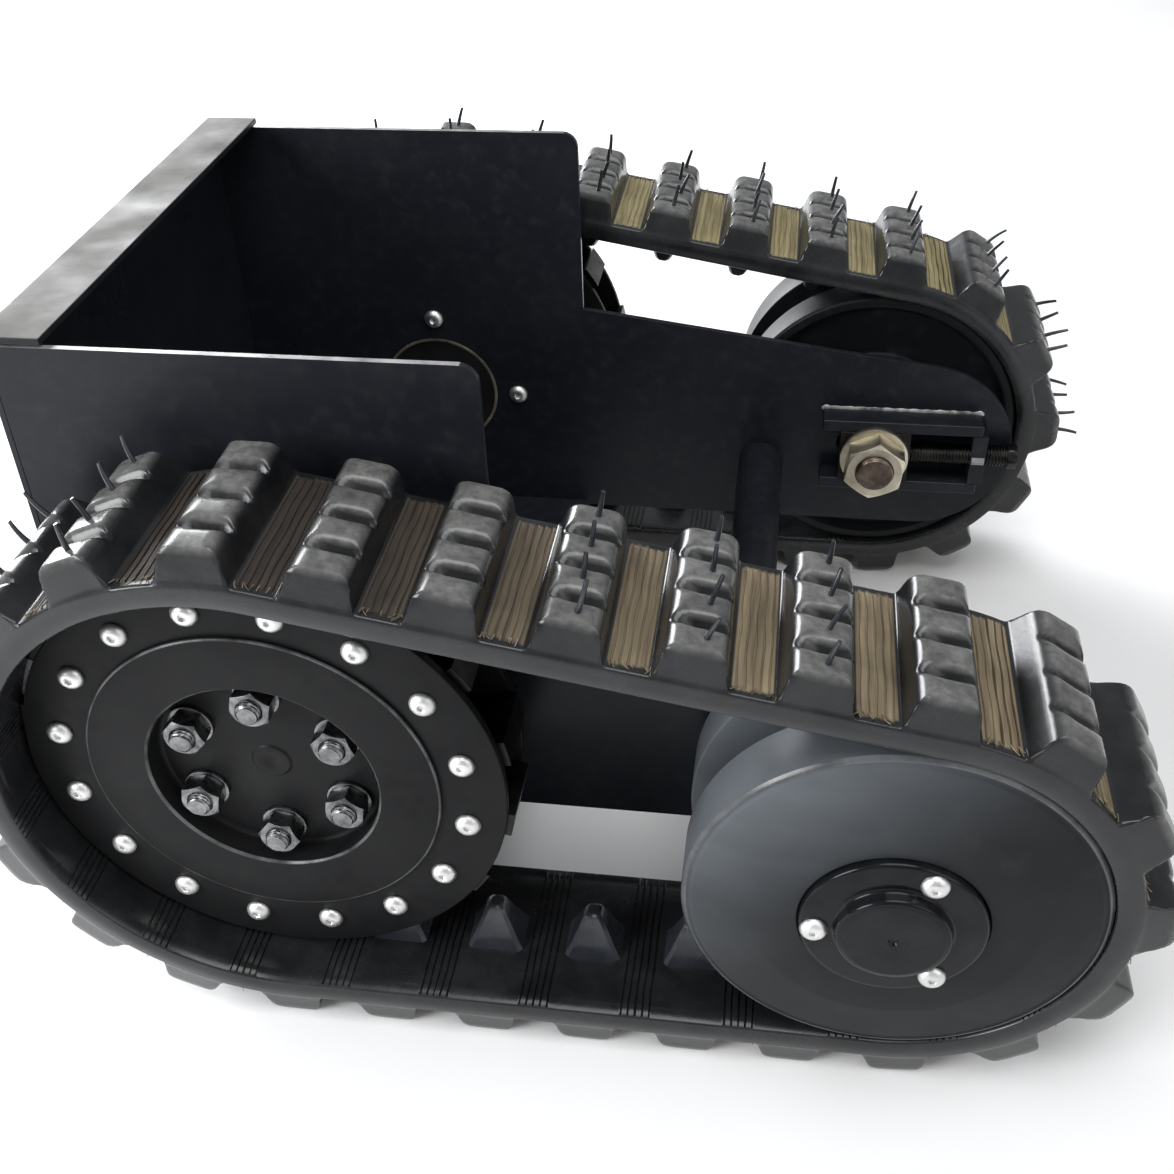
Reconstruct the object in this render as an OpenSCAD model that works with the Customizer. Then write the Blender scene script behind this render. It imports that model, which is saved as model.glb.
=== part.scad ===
/* [Layout] */
// Distance between the drive axle and the idler axle
wheelbase = 246; // [230:1:270]
// Width of the frame over the outside of both side plates
frame_w = 250; // [220:2:320]
// Bars on each drive wheel, which is also the number of track lugs it takes per turn
bar_count = 16; // [14:1:18]
// Lugs on each track
lug_count = 26; // [24:1:28]

/* [Track] */
// Width of the track
track_w = 76; // [60:1:90]
// Inside radius of the track on the drive wheel
drive_belt_r = 101; // [95:1:110]
// Inside radius of the track on the idler
idler_belt_r = 79; // [70:1:85]
// Thickness of the band
band_t = 10; // [8:0.5:12]
// Height of an outer lug
lug_h = 14; // [8:0.5:16]
// Length of an outer lug at its foot
lug_base = 26; // [20:1:28]
// Length of an outer lug at its crest
lug_top = 20; // [14:1:22]
// How far a lug's ends slope back from foot to crest
lug_end_slope = 3.5; // [2:0.5:6]
// Radius of the valleys between a lug's humps
valley_r = 5; // [3:0.5:6]
// Height of a guide lug
guide_h = 20; // [12:0.5:20]
// Length of a guide lug at its foot
guide_base = 24; // [18:1:24]
// Length of a guide lug at its crest
guide_top = 8; // [6:1:12]
// Width of a guide lug at its foot
guide_w = 21; // [16:1:22]
// Width of a guide lug at its crest
guide_crest_w = 9; // [6:1:12]

/* [Drive wheel] */
// Radius of the circle of rim screws
rim_screw_r = 83; // [78:1:86]
// Angle of the first rim screw
rim_screw_phase = 101; // [90:0.5:112]
// Radius of the outer and inner discs
disc_r = 98; // [90:0.5:99]
// Thickness of each disc
disc_t = 4; // [3:0.5:6]
// Length of the bars between the discs
bar_len = 30; // [28:1:34]
// Width of a bar
bar_w = 12; // [10:0.5:14]
// Radius of the recess that holds the hub nuts
hub_recess_r = 47; // [44:0.5:52]
// Radius of the hub's flange on the outer disc
hub_flange_r = 72; // [60:0.5:76]
// Radius of the circle of hub studs
stud_circle_r = 35; // [32:0.5:38]

/* [Idler] */
// Rise of the idler's domed face from its rim to the bearing cap
dome_h = 5.5; // [2:0.5:8]
// Radius of the bearing cap's flange
cap_r = 34.5; // [34:0.5:42]
// Radius of the circle of cap screws
cap_screw_r = 28.8; // [28:0.1:30]
// Radius of the idler axle
axle_r = 10; // [8:0.5:12]

/* [Frame] */
// Thickness of the side plates and the other sheets
sheet_t = 3; // [2:0.5:4]
// Height of the top of the box above the ground
box_top = 275; // [250:1:300]
// Height of the underside of the frame above the ground
frame_bottom = 52; // [45:1:60]
// Radius of the arm's round end
arm_r = 50; // [46:1:52]
// Slope of the arm's upper edge
arm_tilt = 8; // [5:0.5:10]
// Width of the end panel's top flange
flange_w = 26; // [15:1:40]

/* [Gearing] */
// Gear module of the planetary stage
gear_module = 1.5; // [1.5:0.5:1.5]
// Teeth on the pinion
sun_teeth = 18; // [18:6:18]
// Teeth on each planet
planet_teeth = 21; // [21:3:21]
// Teeth in the ring gear
ring_teeth = 60; // [60:6:60]

/* [Hidden] */
$fn = 64;
gap = 0.3;
fit = 0.05;

// Button-head screw used on the discs, caps and motors
screw_head_r = 5.25;
screw_head_h = 3.3;
screw_shank_r = 3;
clear_hole_r = 3.3;

drive_x = -112;
idler_x = drive_x + wheelbase;
drive_z = drive_belt_r + band_t + lug_h;
idler_z = idler_belt_r + band_t + lug_h;

// Distances outward from the middle plane
plate_out = frame_w / 2;
plate_in = plate_out - sheet_t;
disc_face = plate_out + 68;
inner_disc_face = disc_face - 2 * disc_t - bar_len;
track_mid = disc_face - 16.5;
track_out = track_mid + track_w / 2;
rim_face = track_out - 0.5;
groove_out = track_mid + 12.5;
groove_in = track_mid - 12.5;
idler_in = plate_out + 17;
cap_seat = rim_face - 2;
cap_face = cap_seat + 10.5;
cap_top = cap_face + 5.5;

// Hub motor, from the side plate outward
motor_wall = plate_out + 6;
stator_end = motor_wall + 13;
gear_in = stator_end + 1.5;
gear_out = gear_in + 10;
cover_in = gear_out + 5.5;
cover_out = cover_in + 10;
flange_in = cover_out + 1;
flange_out = flange_in + 6;
hub_floor = flange_out + 5;
motor_r = 54;
motor_bore = 50;
spigot_r = 32;
motor_screw_r = 45;
shaft_r = 12.5;
pinion_shaft_r = 4;
rotor_r = 30;
planet_pin_r = 4;
motor_screw_len = 9;
pinion_bearing_t = 5;
output_bearing_r = 21;
output_bearing_t = 9;

// Belt path: level lower run, sloping upper run, one lug pitch per drive bar
belt_tilt = 2 * atan((drive_belt_r - idler_belt_r) / wheelbase);
drive_wrap = (180 + belt_tilt) * PI / 180;
idler_wrap = (180 - belt_tilt) * PI / 180;
inner_path = 2 * wheelbase + drive_belt_r * drive_wrap + idler_belt_r * idler_wrap;
turns = lug_count / bar_count;
cord_depth = (inner_path - turns * 2 * PI * drive_belt_r) / (2 * PI * (turns - 1));
drive_cord_r = drive_belt_r + cord_depth;
idler_cord_r = idler_belt_r + cord_depth;
pitch = 2 * PI * drive_cord_r / bar_count;
first_lug = (rim_screw_phase - 180 / bar_count - 90 + belt_tilt) * PI / 180;
drive_arc = drive_wrap * drive_cord_r;
idler_arc = idler_wrap * idler_cord_r;
lug_w = track_w - 1;
lug_sunk = 2;

// Tensioner
rail_in = plate_in - 14;
rail_half = 15;
rail_h = 6.5;
rail_back = 29;
rail_front = 57;
block_len = 38;
travel_out = 4;
travel_in = 10;
anchor_x = idler_x + rail_front - 5;
anchor_t = 8;
screw_r = 6;
screw_v = plate_in - 7;
screw_end = anchor_x + anchor_t + travel_in + 3;

// Drive wheel details
stud_r = 5;
stud_nut_r = 9.24;
bar_bottom = 74.5;
disc_screw_len = 12;

// Idler details
idler_barrel_r = 34;
idler_spool_r = 56;
idler_bearing_r = 23.5;
idler_bearing_t = 14;
cap_screw_phase = 65;
cap_boss_r = 21;
axle_nose_r = 8;
axle_nut_r = 17.3;
axle_nut_h = 14;
axle_washer_r = 18.5;
lock_nut_r = 13.9;

// Gears
planet_orbit = gear_module * (sun_teeth + planet_teeth) / 2;
backlash = 0.07;

// Frame
plate_corner = 8;
arm_x = idler_x + 25;
arm_z = frame_bottom + arm_r;
box_right = drive_x + 84;
panel_x = drive_x - 110.5;
plate_left = panel_x + sheet_t;
arm_touch = [arm_x + arm_r * sin(arm_tilt), arm_z + arm_r * cos(arm_tilt)];
arm_rise = arm_touch.y + (arm_touch.x - box_right) * tan(arm_tilt);
panel_top = box_top + 4;
tube_x = drive_x + 184;
tube_z = frame_bottom + 36;
tube_r = 12.5;
tube_bore = 10;
floor_hole_x = 100;
floor_hole_y = 160;

STEEL = [0.72, 0.73, 0.74];
BLACK = [0.07, 0.08, 0.09];
RUBBER = [0.16, 0.17, 0.18];
GREY = [0.33, 0.34, 0.35];
COPPER = [0.55, 0.35, 0.2];

// ---------- Placing ----------

// A side's own frame: X along the object, Y up, Z outward from the middle plane
module right() rotate([90, 0, 0]) children();
module left() mirror([0, 1, 0]) right() children();
module both() {
    right() children();
    left() children();
}
module at_drive(out = 0) translate([drive_x, drive_z, out]) children();
module at_idler(out = 0) translate([idler_x, idler_z, out]) children();
module ring_of(count, r, phase = 0) {
    for (i = [0 : count - 1]) rotate(phase + i * 360 / count) translate([r, 0, 0]) children();
}
module on_rim() ring_of(bar_count, rim_screw_r, rim_screw_phase) children();
module on_studs() ring_of(6, stud_circle_r, 30) children();

// ---------- Shared shapes ----------

module tube(outer, inner, h) difference() {
    cylinder(r = outer, h = h);
    translate([0, 0, -1]) cylinder(r = inner, h = h + 2);
}
module hex_nut(corner_r, bore, h) difference() {
    cylinder(r = corner_r, h = h, $fn = 6);
    translate([0, 0, -1]) cylinder(r = bore, h = h + 2);
}
module button_screw(shank) rotate_extrude() polygon([
    [0, -shank], [screw_shank_r, -shank], [screw_shank_r, 0], [screw_head_r, 0],
    [screw_head_r, 0.25 * screw_head_h], [0.82 * screw_head_r, 0.72 * screw_head_h],
    [0.5 * screw_head_r, screw_head_h], [0, screw_head_h]
]);
// Ball bearing with a shallow groove in both faces
module bearing(outer, inner, h) {
    function across(share) = inner + share * (outer - inner);
    color(STEEL) rotate_extrude() polygon([
        [inner, 0], [across(0.3), 0], [across(0.35), 0.5],
        [across(0.65), 0.5], [across(0.7), 0], [outer, 0],
        [outer, h], [across(0.7), h], [across(0.65), h - 0.5],
        [across(0.35), h - 0.5], [across(0.3), h], [inner, h]
    ]);
}

// ---------- Frame ----------

module plate_outline() {
    left_edge = [plate_left, frame_bottom];
    arm_root = [box_right - 20, arm_rise + 20 * tan(arm_tilt)];
    translate(left_edge) square([box_right - plate_left, box_top - plate_corner - frame_bottom]);
    translate(left_edge) square([box_right - plate_corner - plate_left, box_top - frame_bottom]);
    translate([box_right - plate_corner, box_top - plate_corner]) circle(r = plate_corner);
    polygon([left_edge, [arm_x, frame_bottom], [arm_x, arm_z], arm_touch, arm_root]);
    translate([arm_x, arm_z]) circle(r = arm_r);
}
module axle_slot() {
    half = axle_r + gap;
    translate([idler_x - travel_in, idler_z]) circle(r = half);
    translate([idler_x + travel_out, idler_z]) circle(r = half);
    translate([idler_x - travel_in, idler_z - half]) square([travel_in + travel_out, 2 * half]);
}
module side_plate() color(BLACK) translate([0, 0, plate_in]) linear_extrude(sheet_t) difference() {
    plate_outline();
    translate([drive_x, drive_z]) circle(r = spigot_r);
    translate([drive_x, drive_z]) ring_of(4, motor_screw_r) circle(r = clear_hole_r);
    axle_slot();
}
module right_side_plate() right() side_plate();
module left_side_plate() left() side_plate();

// End panel with a flange folded in along its top
module end_panel() color(BLACK) {
    translate([panel_x, -plate_out, frame_bottom]) cube([sheet_t, frame_w, panel_top - frame_bottom]);
    translate([panel_x, -plate_out, panel_top - sheet_t]) cube([flange_w, frame_w, sheet_t]);
}

// Floor of the box, with four holes for what the robot carries
module floor_plate() color(BLACK) translate([0, 0, frame_bottom]) difference() {
    translate([plate_left, -plate_in, 0]) cube([box_right - plate_left - 2, 2 * plate_in, sheet_t]);
    for (x = [-0.5, 0.5], y = [-0.5, 0.5])
        translate([drive_x + x * floor_hole_x, y * floor_hole_y, -1])
            cylinder(r = clear_hole_r, h = sheet_t + 2);
}

module cross_tube() color(BLACK) translate([tube_x, plate_in, tube_z]) rotate([90, 0, 0])
    tube(tube_r, tube_bore, 2 * plate_in);

// ---------- Hub motor ----------

module motor_housing() color(BLACK) at_drive() difference() {
    union() {
        translate([0, 0, plate_in]) cylinder(r = spigot_r, h = sheet_t);
        translate([0, 0, plate_out]) cylinder(r = motor_r, h = cover_in - plate_out);
    }
    translate([0, 0, motor_wall]) cylinder(r = motor_bore, h = cover_in);
    translate([0, 0, motor_wall - pinion_bearing_t]) cylinder(r = 8, h = 2 * pinion_bearing_t);
    ring_of(4, motor_screw_r) translate([0, 0, plate_in])
        cylinder(r = screw_shank_r, h = motor_screw_len + 0.5);
}
module right_motor_housing() right() motor_housing();
module left_motor_housing() left() motor_housing();

module gear_cover() color(BLACK) at_drive(cover_in)
    tube(motor_r, output_bearing_r, cover_out - cover_in);
module right_gear_cover() right() gear_cover();
module left_gear_cover() left() gear_cover();

module motor_screws() color(STEEL) both() at_drive(plate_in) mirror([0, 0, 1])
    ring_of(4, motor_screw_r) button_screw(motor_screw_len);

// Wound stator as a ring with the slots between its twelve coils
module motor_stators() color(COPPER) both() at_drive(motor_wall) difference() {
    tube(motor_bore, rotor_r + 0.6, stator_end - motor_wall);
    ring_of(12, 38) translate([0, 0, -1]) cylinder(r = 4.5, h = stator_end - motor_wall + 2);
}

module motor_bearings() both() {
    at_drive(motor_wall - pinion_bearing_t) bearing(8, pinion_shaft_r + fit, pinion_bearing_t);
    at_drive(cover_in + 0.5) bearing(output_bearing_r, shaft_r + fit, output_bearing_t);
}

// ---------- Gears ----------

// Involute flanks through four radii. Play above zero widens a ring's spaces; below zero it thins a tooth.
function pitch_r(teeth) = gear_module * teeth / 2;
function roll(base, r) = r <= base ? 0 : tan(acos(base / r)) * 180 / PI - acos(base / r);
function half_tooth(teeth, r, play) =
    let (base = pitch_r(teeth) * cos(20))
    90 / teeth * (1 + play) + roll(base, pitch_r(teeth)) - roll(base, r);
function gear_radii(teeth, below, above) =
    let (p = pitch_r(teeth))
    [p - below, p - 0.35 * below, p + 0.4 * above, p + above];
function gear_points(teeth, radii, play) = [
    for (i = [0 : teeth - 1], side = [-1, 1], k = [0 : 3])
        let (
            r = radii[side < 0 ? k : 3 - k],
            a = i * 360 / teeth + side * half_tooth(teeth, r, play)
        )
        r * [cos(a), sin(a)]
];
module outer_teeth(teeth) polygon(gear_points(teeth, gear_radii(teeth, 1.8, 1.4), -backlash));

module ring_gears() color(STEEL) both() at_drive(gear_in) linear_extrude(gear_out - gear_in) difference() {
    circle(r = motor_bore);
    polygon(gear_points(ring_teeth, gear_radii(ring_teeth, 1.2, 1.9), backlash));
}

// Rotor on its shaft, with the pinion cut on the shaft's end
module motor_rotor() color(STEEL) at_drive() {
    translate([0, 0, motor_wall + 0.5]) cylinder(r = rotor_r, h = stator_end - motor_wall - 1);
    translate([0, 0, motor_wall - 4.5]) cylinder(r = pinion_shaft_r, h = gear_out - motor_wall + 4.5);
    translate([0, 0, stator_end - 0.5]) linear_extrude(gear_out - stator_end + 0.5) outer_teeth(sun_teeth);
}
module right_motor_rotor() right() motor_rotor();
module left_motor_rotor() left() motor_rotor();

module planet_gear(i) color(STEEL) at_drive(gear_in + 0.5) rotate(i * 120) translate([planet_orbit, 0, 0])
    linear_extrude(9) difference() {
        outer_teeth(planet_teeth);
        circle(r = planet_pin_r + fit);
    }
module right_planet_gear_1() right() planet_gear(0);
module right_planet_gear_2() right() planet_gear(1);
module right_planet_gear_3() right() planet_gear(2);
module left_planet_gear_1() left() planet_gear(0);
module left_planet_gear_2() left() planet_gear(1);
module left_planet_gear_3() left() planet_gear(2);

// Carrier plate with its planet pins, output shaft and output flange
module planet_carrier() color(STEEL) at_drive() difference() {
    union() {
        translate([0, 0, gear_out + 0.5]) cylinder(r = 37, h = 4);
        ring_of(3, planet_orbit) translate([0, 0, gear_in + 0.3]) cylinder(r = planet_pin_r, h = 12);
        translate([0, 0, gear_out + 2]) cylinder(r = shaft_r, h = flange_in - gear_out);
        translate([0, 0, flange_in]) cylinder(r = 44, h = flange_out - flange_in);
    }
    on_studs() translate([0, 0, flange_in - 1]) cylinder(r = stud_r, h = 20);
}
module right_planet_carrier() right() planet_carrier();
module left_planet_carrier() left() planet_carrier();

// ---------- Drive wheel ----------

module rim_disc(bore) difference() {
    tube(disc_r, bore, disc_t);
    on_rim() translate([0, 0, -1]) cylinder(r = screw_shank_r, h = disc_t + 2);
}
module outer_disc() color(BLACK) at_drive(disc_face - disc_t) rim_disc(hub_recess_r + 3);
module right_outer_disc() right() outer_disc();
module left_outer_disc() left() outer_disc();

module inner_disc() color(BLACK) at_drive(inner_disc_face) rim_disc(motor_r + 4);
module right_inner_disc() right() inner_disc();
module left_inner_disc() left() inner_disc();

// Cup with a flange on the outer disc, bolted to the motor's output flange
module drive_hub() color(BLACK) at_drive() difference() {
    union() {
        translate([0, 0, flange_out]) cylinder(r = hub_recess_r + 3, h = disc_face - flange_out);
        translate([0, 0, disc_face]) cylinder(r = hub_flange_r, h = 2);
    }
    translate([0, 0, hub_floor]) cylinder(r = hub_recess_r, h = 40);
    on_studs() translate([0, 0, flange_out - 1]) cylinder(r = stud_r, h = 20);
}
module right_drive_hub() right() drive_hub();
module left_drive_hub() left() drive_hub();

// Bars that drive the guide lugs, with a tapped hole in each end
module drive_bars() color(STEEL) at_drive(inner_disc_face + disc_t) difference() {
    linear_extrude(bar_len) intersection() {
        circle(r = drive_belt_r - gap);
        ring_of(bar_count, bar_bottom, rim_screw_phase) translate([0, -bar_w / 2]) square([27, bar_w]);
    }
    on_rim() translate([0, 0, -1]) cylinder(r = screw_shank_r, h = 11);
    on_rim() translate([0, 0, bar_len - 10]) cylinder(r = screw_shank_r, h = 11);
}
module right_drive_bars() right() drive_bars();
module left_drive_bars() left() drive_bars();

module disc_screws() color(STEEL) at_drive() {
    translate([0, 0, disc_face]) on_rim() button_screw(disc_screw_len);
    translate([0, 0, inner_disc_face]) mirror([0, 0, 1]) on_rim() button_screw(disc_screw_len);
}
module right_disc_screws() right() disc_screws();
module left_disc_screws() left() disc_screws();

// Studs from the output flange, each with a washer and a nut in the hub's recess
module hub_fasteners() color(STEEL) at_drive() on_studs() {
    translate([0, 0, flange_in]) cylinder(r = stud_r, h = disc_face + 3 - flange_in);
    translate([0, 0, hub_floor]) tube(2 * stud_r, stud_r, 2);
    translate([0, 0, hub_floor + 2]) hex_nut(stud_nut_r, stud_r, 8);
}
module right_hub_fasteners() right() hub_fasteners();
module left_hub_fasteners() left() hub_fasteners();

// ---------- Track ----------

// Closed loop around both wheels at a height above the band's inside
module loop_outline(up) {
    r1 = drive_belt_r + up;
    r2 = idler_belt_r + up;
    top_1 = [drive_x + r1 * sin(belt_tilt), drive_z + r1 * cos(belt_tilt)];
    top_2 = [idler_x + r2 * sin(belt_tilt), idler_z + r2 * cos(belt_tilt)];
    translate([drive_x, drive_z]) circle(r = r1, $fn = 128);
    translate([idler_x, idler_z]) circle(r = r2, $fn = 128);
    polygon([[drive_x, drive_z - r1], [idler_x, idler_z - r2], top_2, top_1]);
}
// Place on the band at a distance along the cord line from the top of the drive wheel: X along, Y outward
module on_path(s) {
    past_run = s - drive_arc - wheelbase;
    if (s < drive_arc)
        translate([drive_x, drive_z]) rotate(-belt_tilt + s / drive_cord_r * 180 / PI)
            translate([0, drive_belt_r]) children();
    else if (past_run < 0)
        translate([drive_x + s - drive_arc, drive_z - drive_belt_r]) rotate(180) children();
    else if (past_run < idler_arc)
        translate([idler_x, idler_z]) rotate(180 + past_run / idler_cord_r * 180 / PI)
            translate([0, idler_belt_r]) children();
    else
        translate([idler_x, idler_z]) rotate(-belt_tilt)
            translate([idler_arc - past_run, idler_belt_r]) children();
}
// Outline of a lug from its side or end: a foot sunk in the band, then straight flanks up to the crest
function flanks(foot, crest, height, sunk) = [
    [-foot / 2, -sunk], [foot / 2, -sunk], [foot / 2, 0],
    [crest / 2, height], [-crest / 2, height], [-foot / 2, 0]
];
// Outer lug: four humps in a row, sloping sides and ends
module outer_lug() translate([0, band_t, track_w / 2]) intersection() {
    linear_extrude(lug_w, center = true) polygon(flanks(lug_base, lug_top, lug_h, lug_sunk));
    rotate([0, 90, 0]) linear_extrude(lug_base, center = true) difference() {
        polygon(flanks(lug_w, lug_w - 2 * lug_end_slope, lug_h, lug_sunk));
        for (i = [-1 : 1]) translate([i * track_w / 4, lug_h + 1]) circle(r = valley_r, $fn = 32);
    }
}
// Guide lug: a blunt pyramid on the inside of the band
module guide_lug() translate([0, 0, track_w / 2]) mirror([0, 1, 0]) intersection() {
    linear_extrude(guide_w, center = true) polygon(flanks(guide_base, guide_top, guide_h, 1));
    rotate([0, 90, 0]) linear_extrude(guide_base, center = true)
        polygon(flanks(guide_w, guide_crest_w, guide_h, 1));
}
module track_belt() color(RUBBER) translate([0, 0, track_mid - track_w / 2]) {
    linear_extrude(track_w) difference() {
        loop_outline(band_t);
        loop_outline(0);
    }
    for (i = [0 : lug_count - 1]) on_path(first_lug * drive_cord_r + i * pitch) {
        outer_lug();
        guide_lug();
    }
}
module right_track_belt() right() track_belt();
module left_track_belt() left() track_belt();

// ---------- Idler ----------

// Outer half with a domed face and a pocket for the bearing cap
module idler_outer_half() color(GREY) at_idler() rotate_extrude($fn = 128) polygon([
    [idler_barrel_r, groove_out], [idler_belt_r - gap, groove_out],
    [idler_belt_r - gap, rim_face - 1.5], [idler_belt_r - 1.8, rim_face],
    [idler_belt_r - 13, rim_face + 0.4 * dome_h], [idler_belt_r - 26, rim_face + 0.78 * dome_h],
    [cap_r + 0.5, rim_face + dome_h], [cap_r + 0.5, cap_seat], [idler_barrel_r, cap_seat]
]);
module right_idler_outer_half() right() idler_outer_half();
module left_idler_outer_half() left() idler_outer_half();

module idler_inner_half() color(GREY) at_idler() rotate_extrude($fn = 128) polygon([
    [idler_barrel_r, groove_in], [idler_belt_r - gap, groove_in],
    [idler_belt_r - gap, idler_in + 1], [idler_belt_r - 1.5, idler_in], [idler_belt_r - 6, idler_in],
    [70, idler_in + 6], [42, idler_in + 8], [39, idler_in], [idler_barrel_r, idler_in]
]);
module right_idler_inner_half() right() idler_inner_half();
module left_idler_inner_half() left() idler_inner_half();

// Spool that carries both halves and holds the bearings
module idler_hub() color(GREY) at_idler() difference() {
    bearing_in = idler_in + idler_bearing_t;
    bearing_out = cap_seat - idler_bearing_t;
    rotate_extrude() polygon([
        [20, bearing_in], [idler_bearing_r, bearing_in], [idler_bearing_r, idler_in],
        [idler_barrel_r, idler_in], [idler_barrel_r, groove_in], [idler_spool_r, groove_in],
        [idler_spool_r, groove_out], [idler_barrel_r, groove_out], [idler_barrel_r, cap_seat],
        [idler_bearing_r, cap_seat], [idler_bearing_r, bearing_out], [20, bearing_out]
    ]);
    ring_of(3, cap_screw_r, cap_screw_phase) translate([0, 0, cap_seat - 12])
        cylinder(r = screw_shank_r, h = 20);
}
module right_idler_hub() right() idler_hub();
module left_idler_hub() left() idler_hub();

module idler_bearings() for (v = [idler_in, cap_seat - idler_bearing_t])
    at_idler(v) bearing(idler_bearing_r, axle_r + fit, idler_bearing_t);
module right_idler_bearings() right() idler_bearings();
module left_idler_bearings() left() idler_bearings();

// Hollow cap over the axle's end, with a boss
module idler_cap() color(GREY) at_idler() difference() {
    rotate_extrude() polygon([
        [0, cap_top - 4], [17, cap_top - 4], [17, cap_seat], [cap_r, cap_seat],
        [cap_r, cap_face - 1], [cap_r - 1, cap_face], [cap_boss_r + 1, cap_face],
        [cap_boss_r, cap_face + 1], [cap_boss_r, cap_top - 1.5], [cap_boss_r - 1.5, cap_top], [0, cap_top]
    ]);
    ring_of(3, cap_screw_r, cap_screw_phase) translate([0, 0, cap_seat - 1])
        cylinder(r = screw_shank_r, h = 20);
}
module right_idler_cap() right() idler_cap();
module left_idler_cap() left() idler_cap();

module cap_screws() color(STEEL) at_idler(cap_face)
    ring_of(3, cap_screw_r, cap_screw_phase) button_screw(20);
module right_cap_screws() right() cap_screws();
module left_cap_screws() left() cap_screws();

// ---------- Track tensioner ----------

module tension_rails() color(BLACK) both() for (up = [rail_half, -rail_half - rail_h])
    translate([idler_x - rail_back, idler_z + up, rail_in])
        cube([rail_back + rail_front, rail_h, plate_in - rail_in]);

module tension_anchors() color(BLACK) both() difference() {
    translate([anchor_x, idler_z - rail_half, rail_in]) cube([anchor_t, 2 * rail_half, plate_in - rail_in]);
    translate([anchor_x - 1, idler_z, screw_v]) rotate([0, 90, 0])
        cylinder(r = screw_r + fit, h = anchor_t + 2);
}

module tension_block() color(STEEL) difference() {
    translate([idler_x - block_len / 2, idler_z - rail_half + 0.1, rail_in])
        cube([block_len, 2 * rail_half - 0.2, plate_in - rail_in - 0.1]);
    at_idler(rail_in - 1) cylinder(r = axle_r, h = 20);
}
module right_tension_block() right() tension_block();
module left_tension_block() left() tension_block();

// Fixed axle with a spacing collar against the inner bearing and a thinner threaded nose
module idler_axle() color(STEEL) at_idler() {
    translate([0, 0, rail_in - 20]) cylinder(r = axle_r, h = cap_seat + 0.5 - rail_in + 20);
    translate([0, 0, plate_out + gap]) cylinder(r = 14, h = idler_in - plate_out - 2 * gap);
    translate([0, 0, cap_seat]) cylinder(r = axle_nose_r, h = 8);
}
module right_idler_axle() right() idler_axle();
module left_idler_axle() left() idler_axle();

// Washer and nut inside the frame, and a lock nut under the cap
module axle_nuts() color(STEEL) at_idler() {
    translate([0, 0, rail_in - 3]) tube(axle_washer_r, axle_r, 3);
    translate([0, 0, rail_in - 3 - axle_nut_h]) hex_nut(axle_nut_r, axle_r, axle_nut_h);
    translate([0, 0, cap_seat + 0.5]) hex_nut(lock_nut_r, axle_nose_r, 6);
}
module right_axle_nuts() right() axle_nuts();
module left_axle_nuts() left() axle_nuts();

// Adjusting screw from the block out through the anchor, with a hexagonal end
module tension_screw() color(STEEL) {
    screw_start = idler_x + block_len / 2 + 0.1;
    translate([screw_start, idler_z, screw_v]) rotate([0, 90, 0]) {
        cylinder(r = screw_r, h = screw_end - screw_start + 0.1);
        translate([0, 0, screw_end - screw_start - 0.9]) cylinder(r = 6.9, h = 5, $fn = 6);
    }
}
module right_tension_screw() right() tension_screw();
module left_tension_screw() left() tension_screw();

right_side_plate();
left_side_plate();
end_panel();
floor_plate();
cross_tube();
right_motor_housing();
left_motor_housing();
right_gear_cover();
left_gear_cover();
ring_gears();
motor_stators();
motor_bearings();
motor_screws();
right_track_belt();
left_track_belt();
tension_rails();
tension_anchors();
right_outer_disc();
left_outer_disc();
right_inner_disc();
left_inner_disc();
right_drive_hub();
left_drive_hub();
right_drive_bars();
left_drive_bars();
right_disc_screws();
left_disc_screws();
right_hub_fasteners();
left_hub_fasteners();
right_planet_carrier();
left_planet_carrier();
right_motor_rotor();
left_motor_rotor();
right_planet_gear_1();
right_planet_gear_2();
right_planet_gear_3();
left_planet_gear_1();
left_planet_gear_2();
left_planet_gear_3();
right_idler_outer_half();
left_idler_outer_half();
right_idler_inner_half();
left_idler_inner_half();
right_idler_hub();
left_idler_hub();
right_idler_cap();
left_idler_cap();
right_cap_screws();
left_cap_screws();
right_idler_bearings();
left_idler_bearings();
right_idler_axle();
left_idler_axle();
right_axle_nuts();
left_axle_nuts();
right_tension_block();
left_tension_block();
right_tension_screw();
left_tension_screw();
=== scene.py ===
"""Looks of the tracked chassis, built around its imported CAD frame.

Metres, +Z up, +X from the drive wheels to the idlers. The right side is -Y and faces the camera.
Most pieces are worked out in a side's own millimetres: X along, Y up, Z outward from the middle plane.
"""

import math
import random

import bmesh
import bpy
import numpy as np
from mathutils import Matrix, Vector


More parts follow.
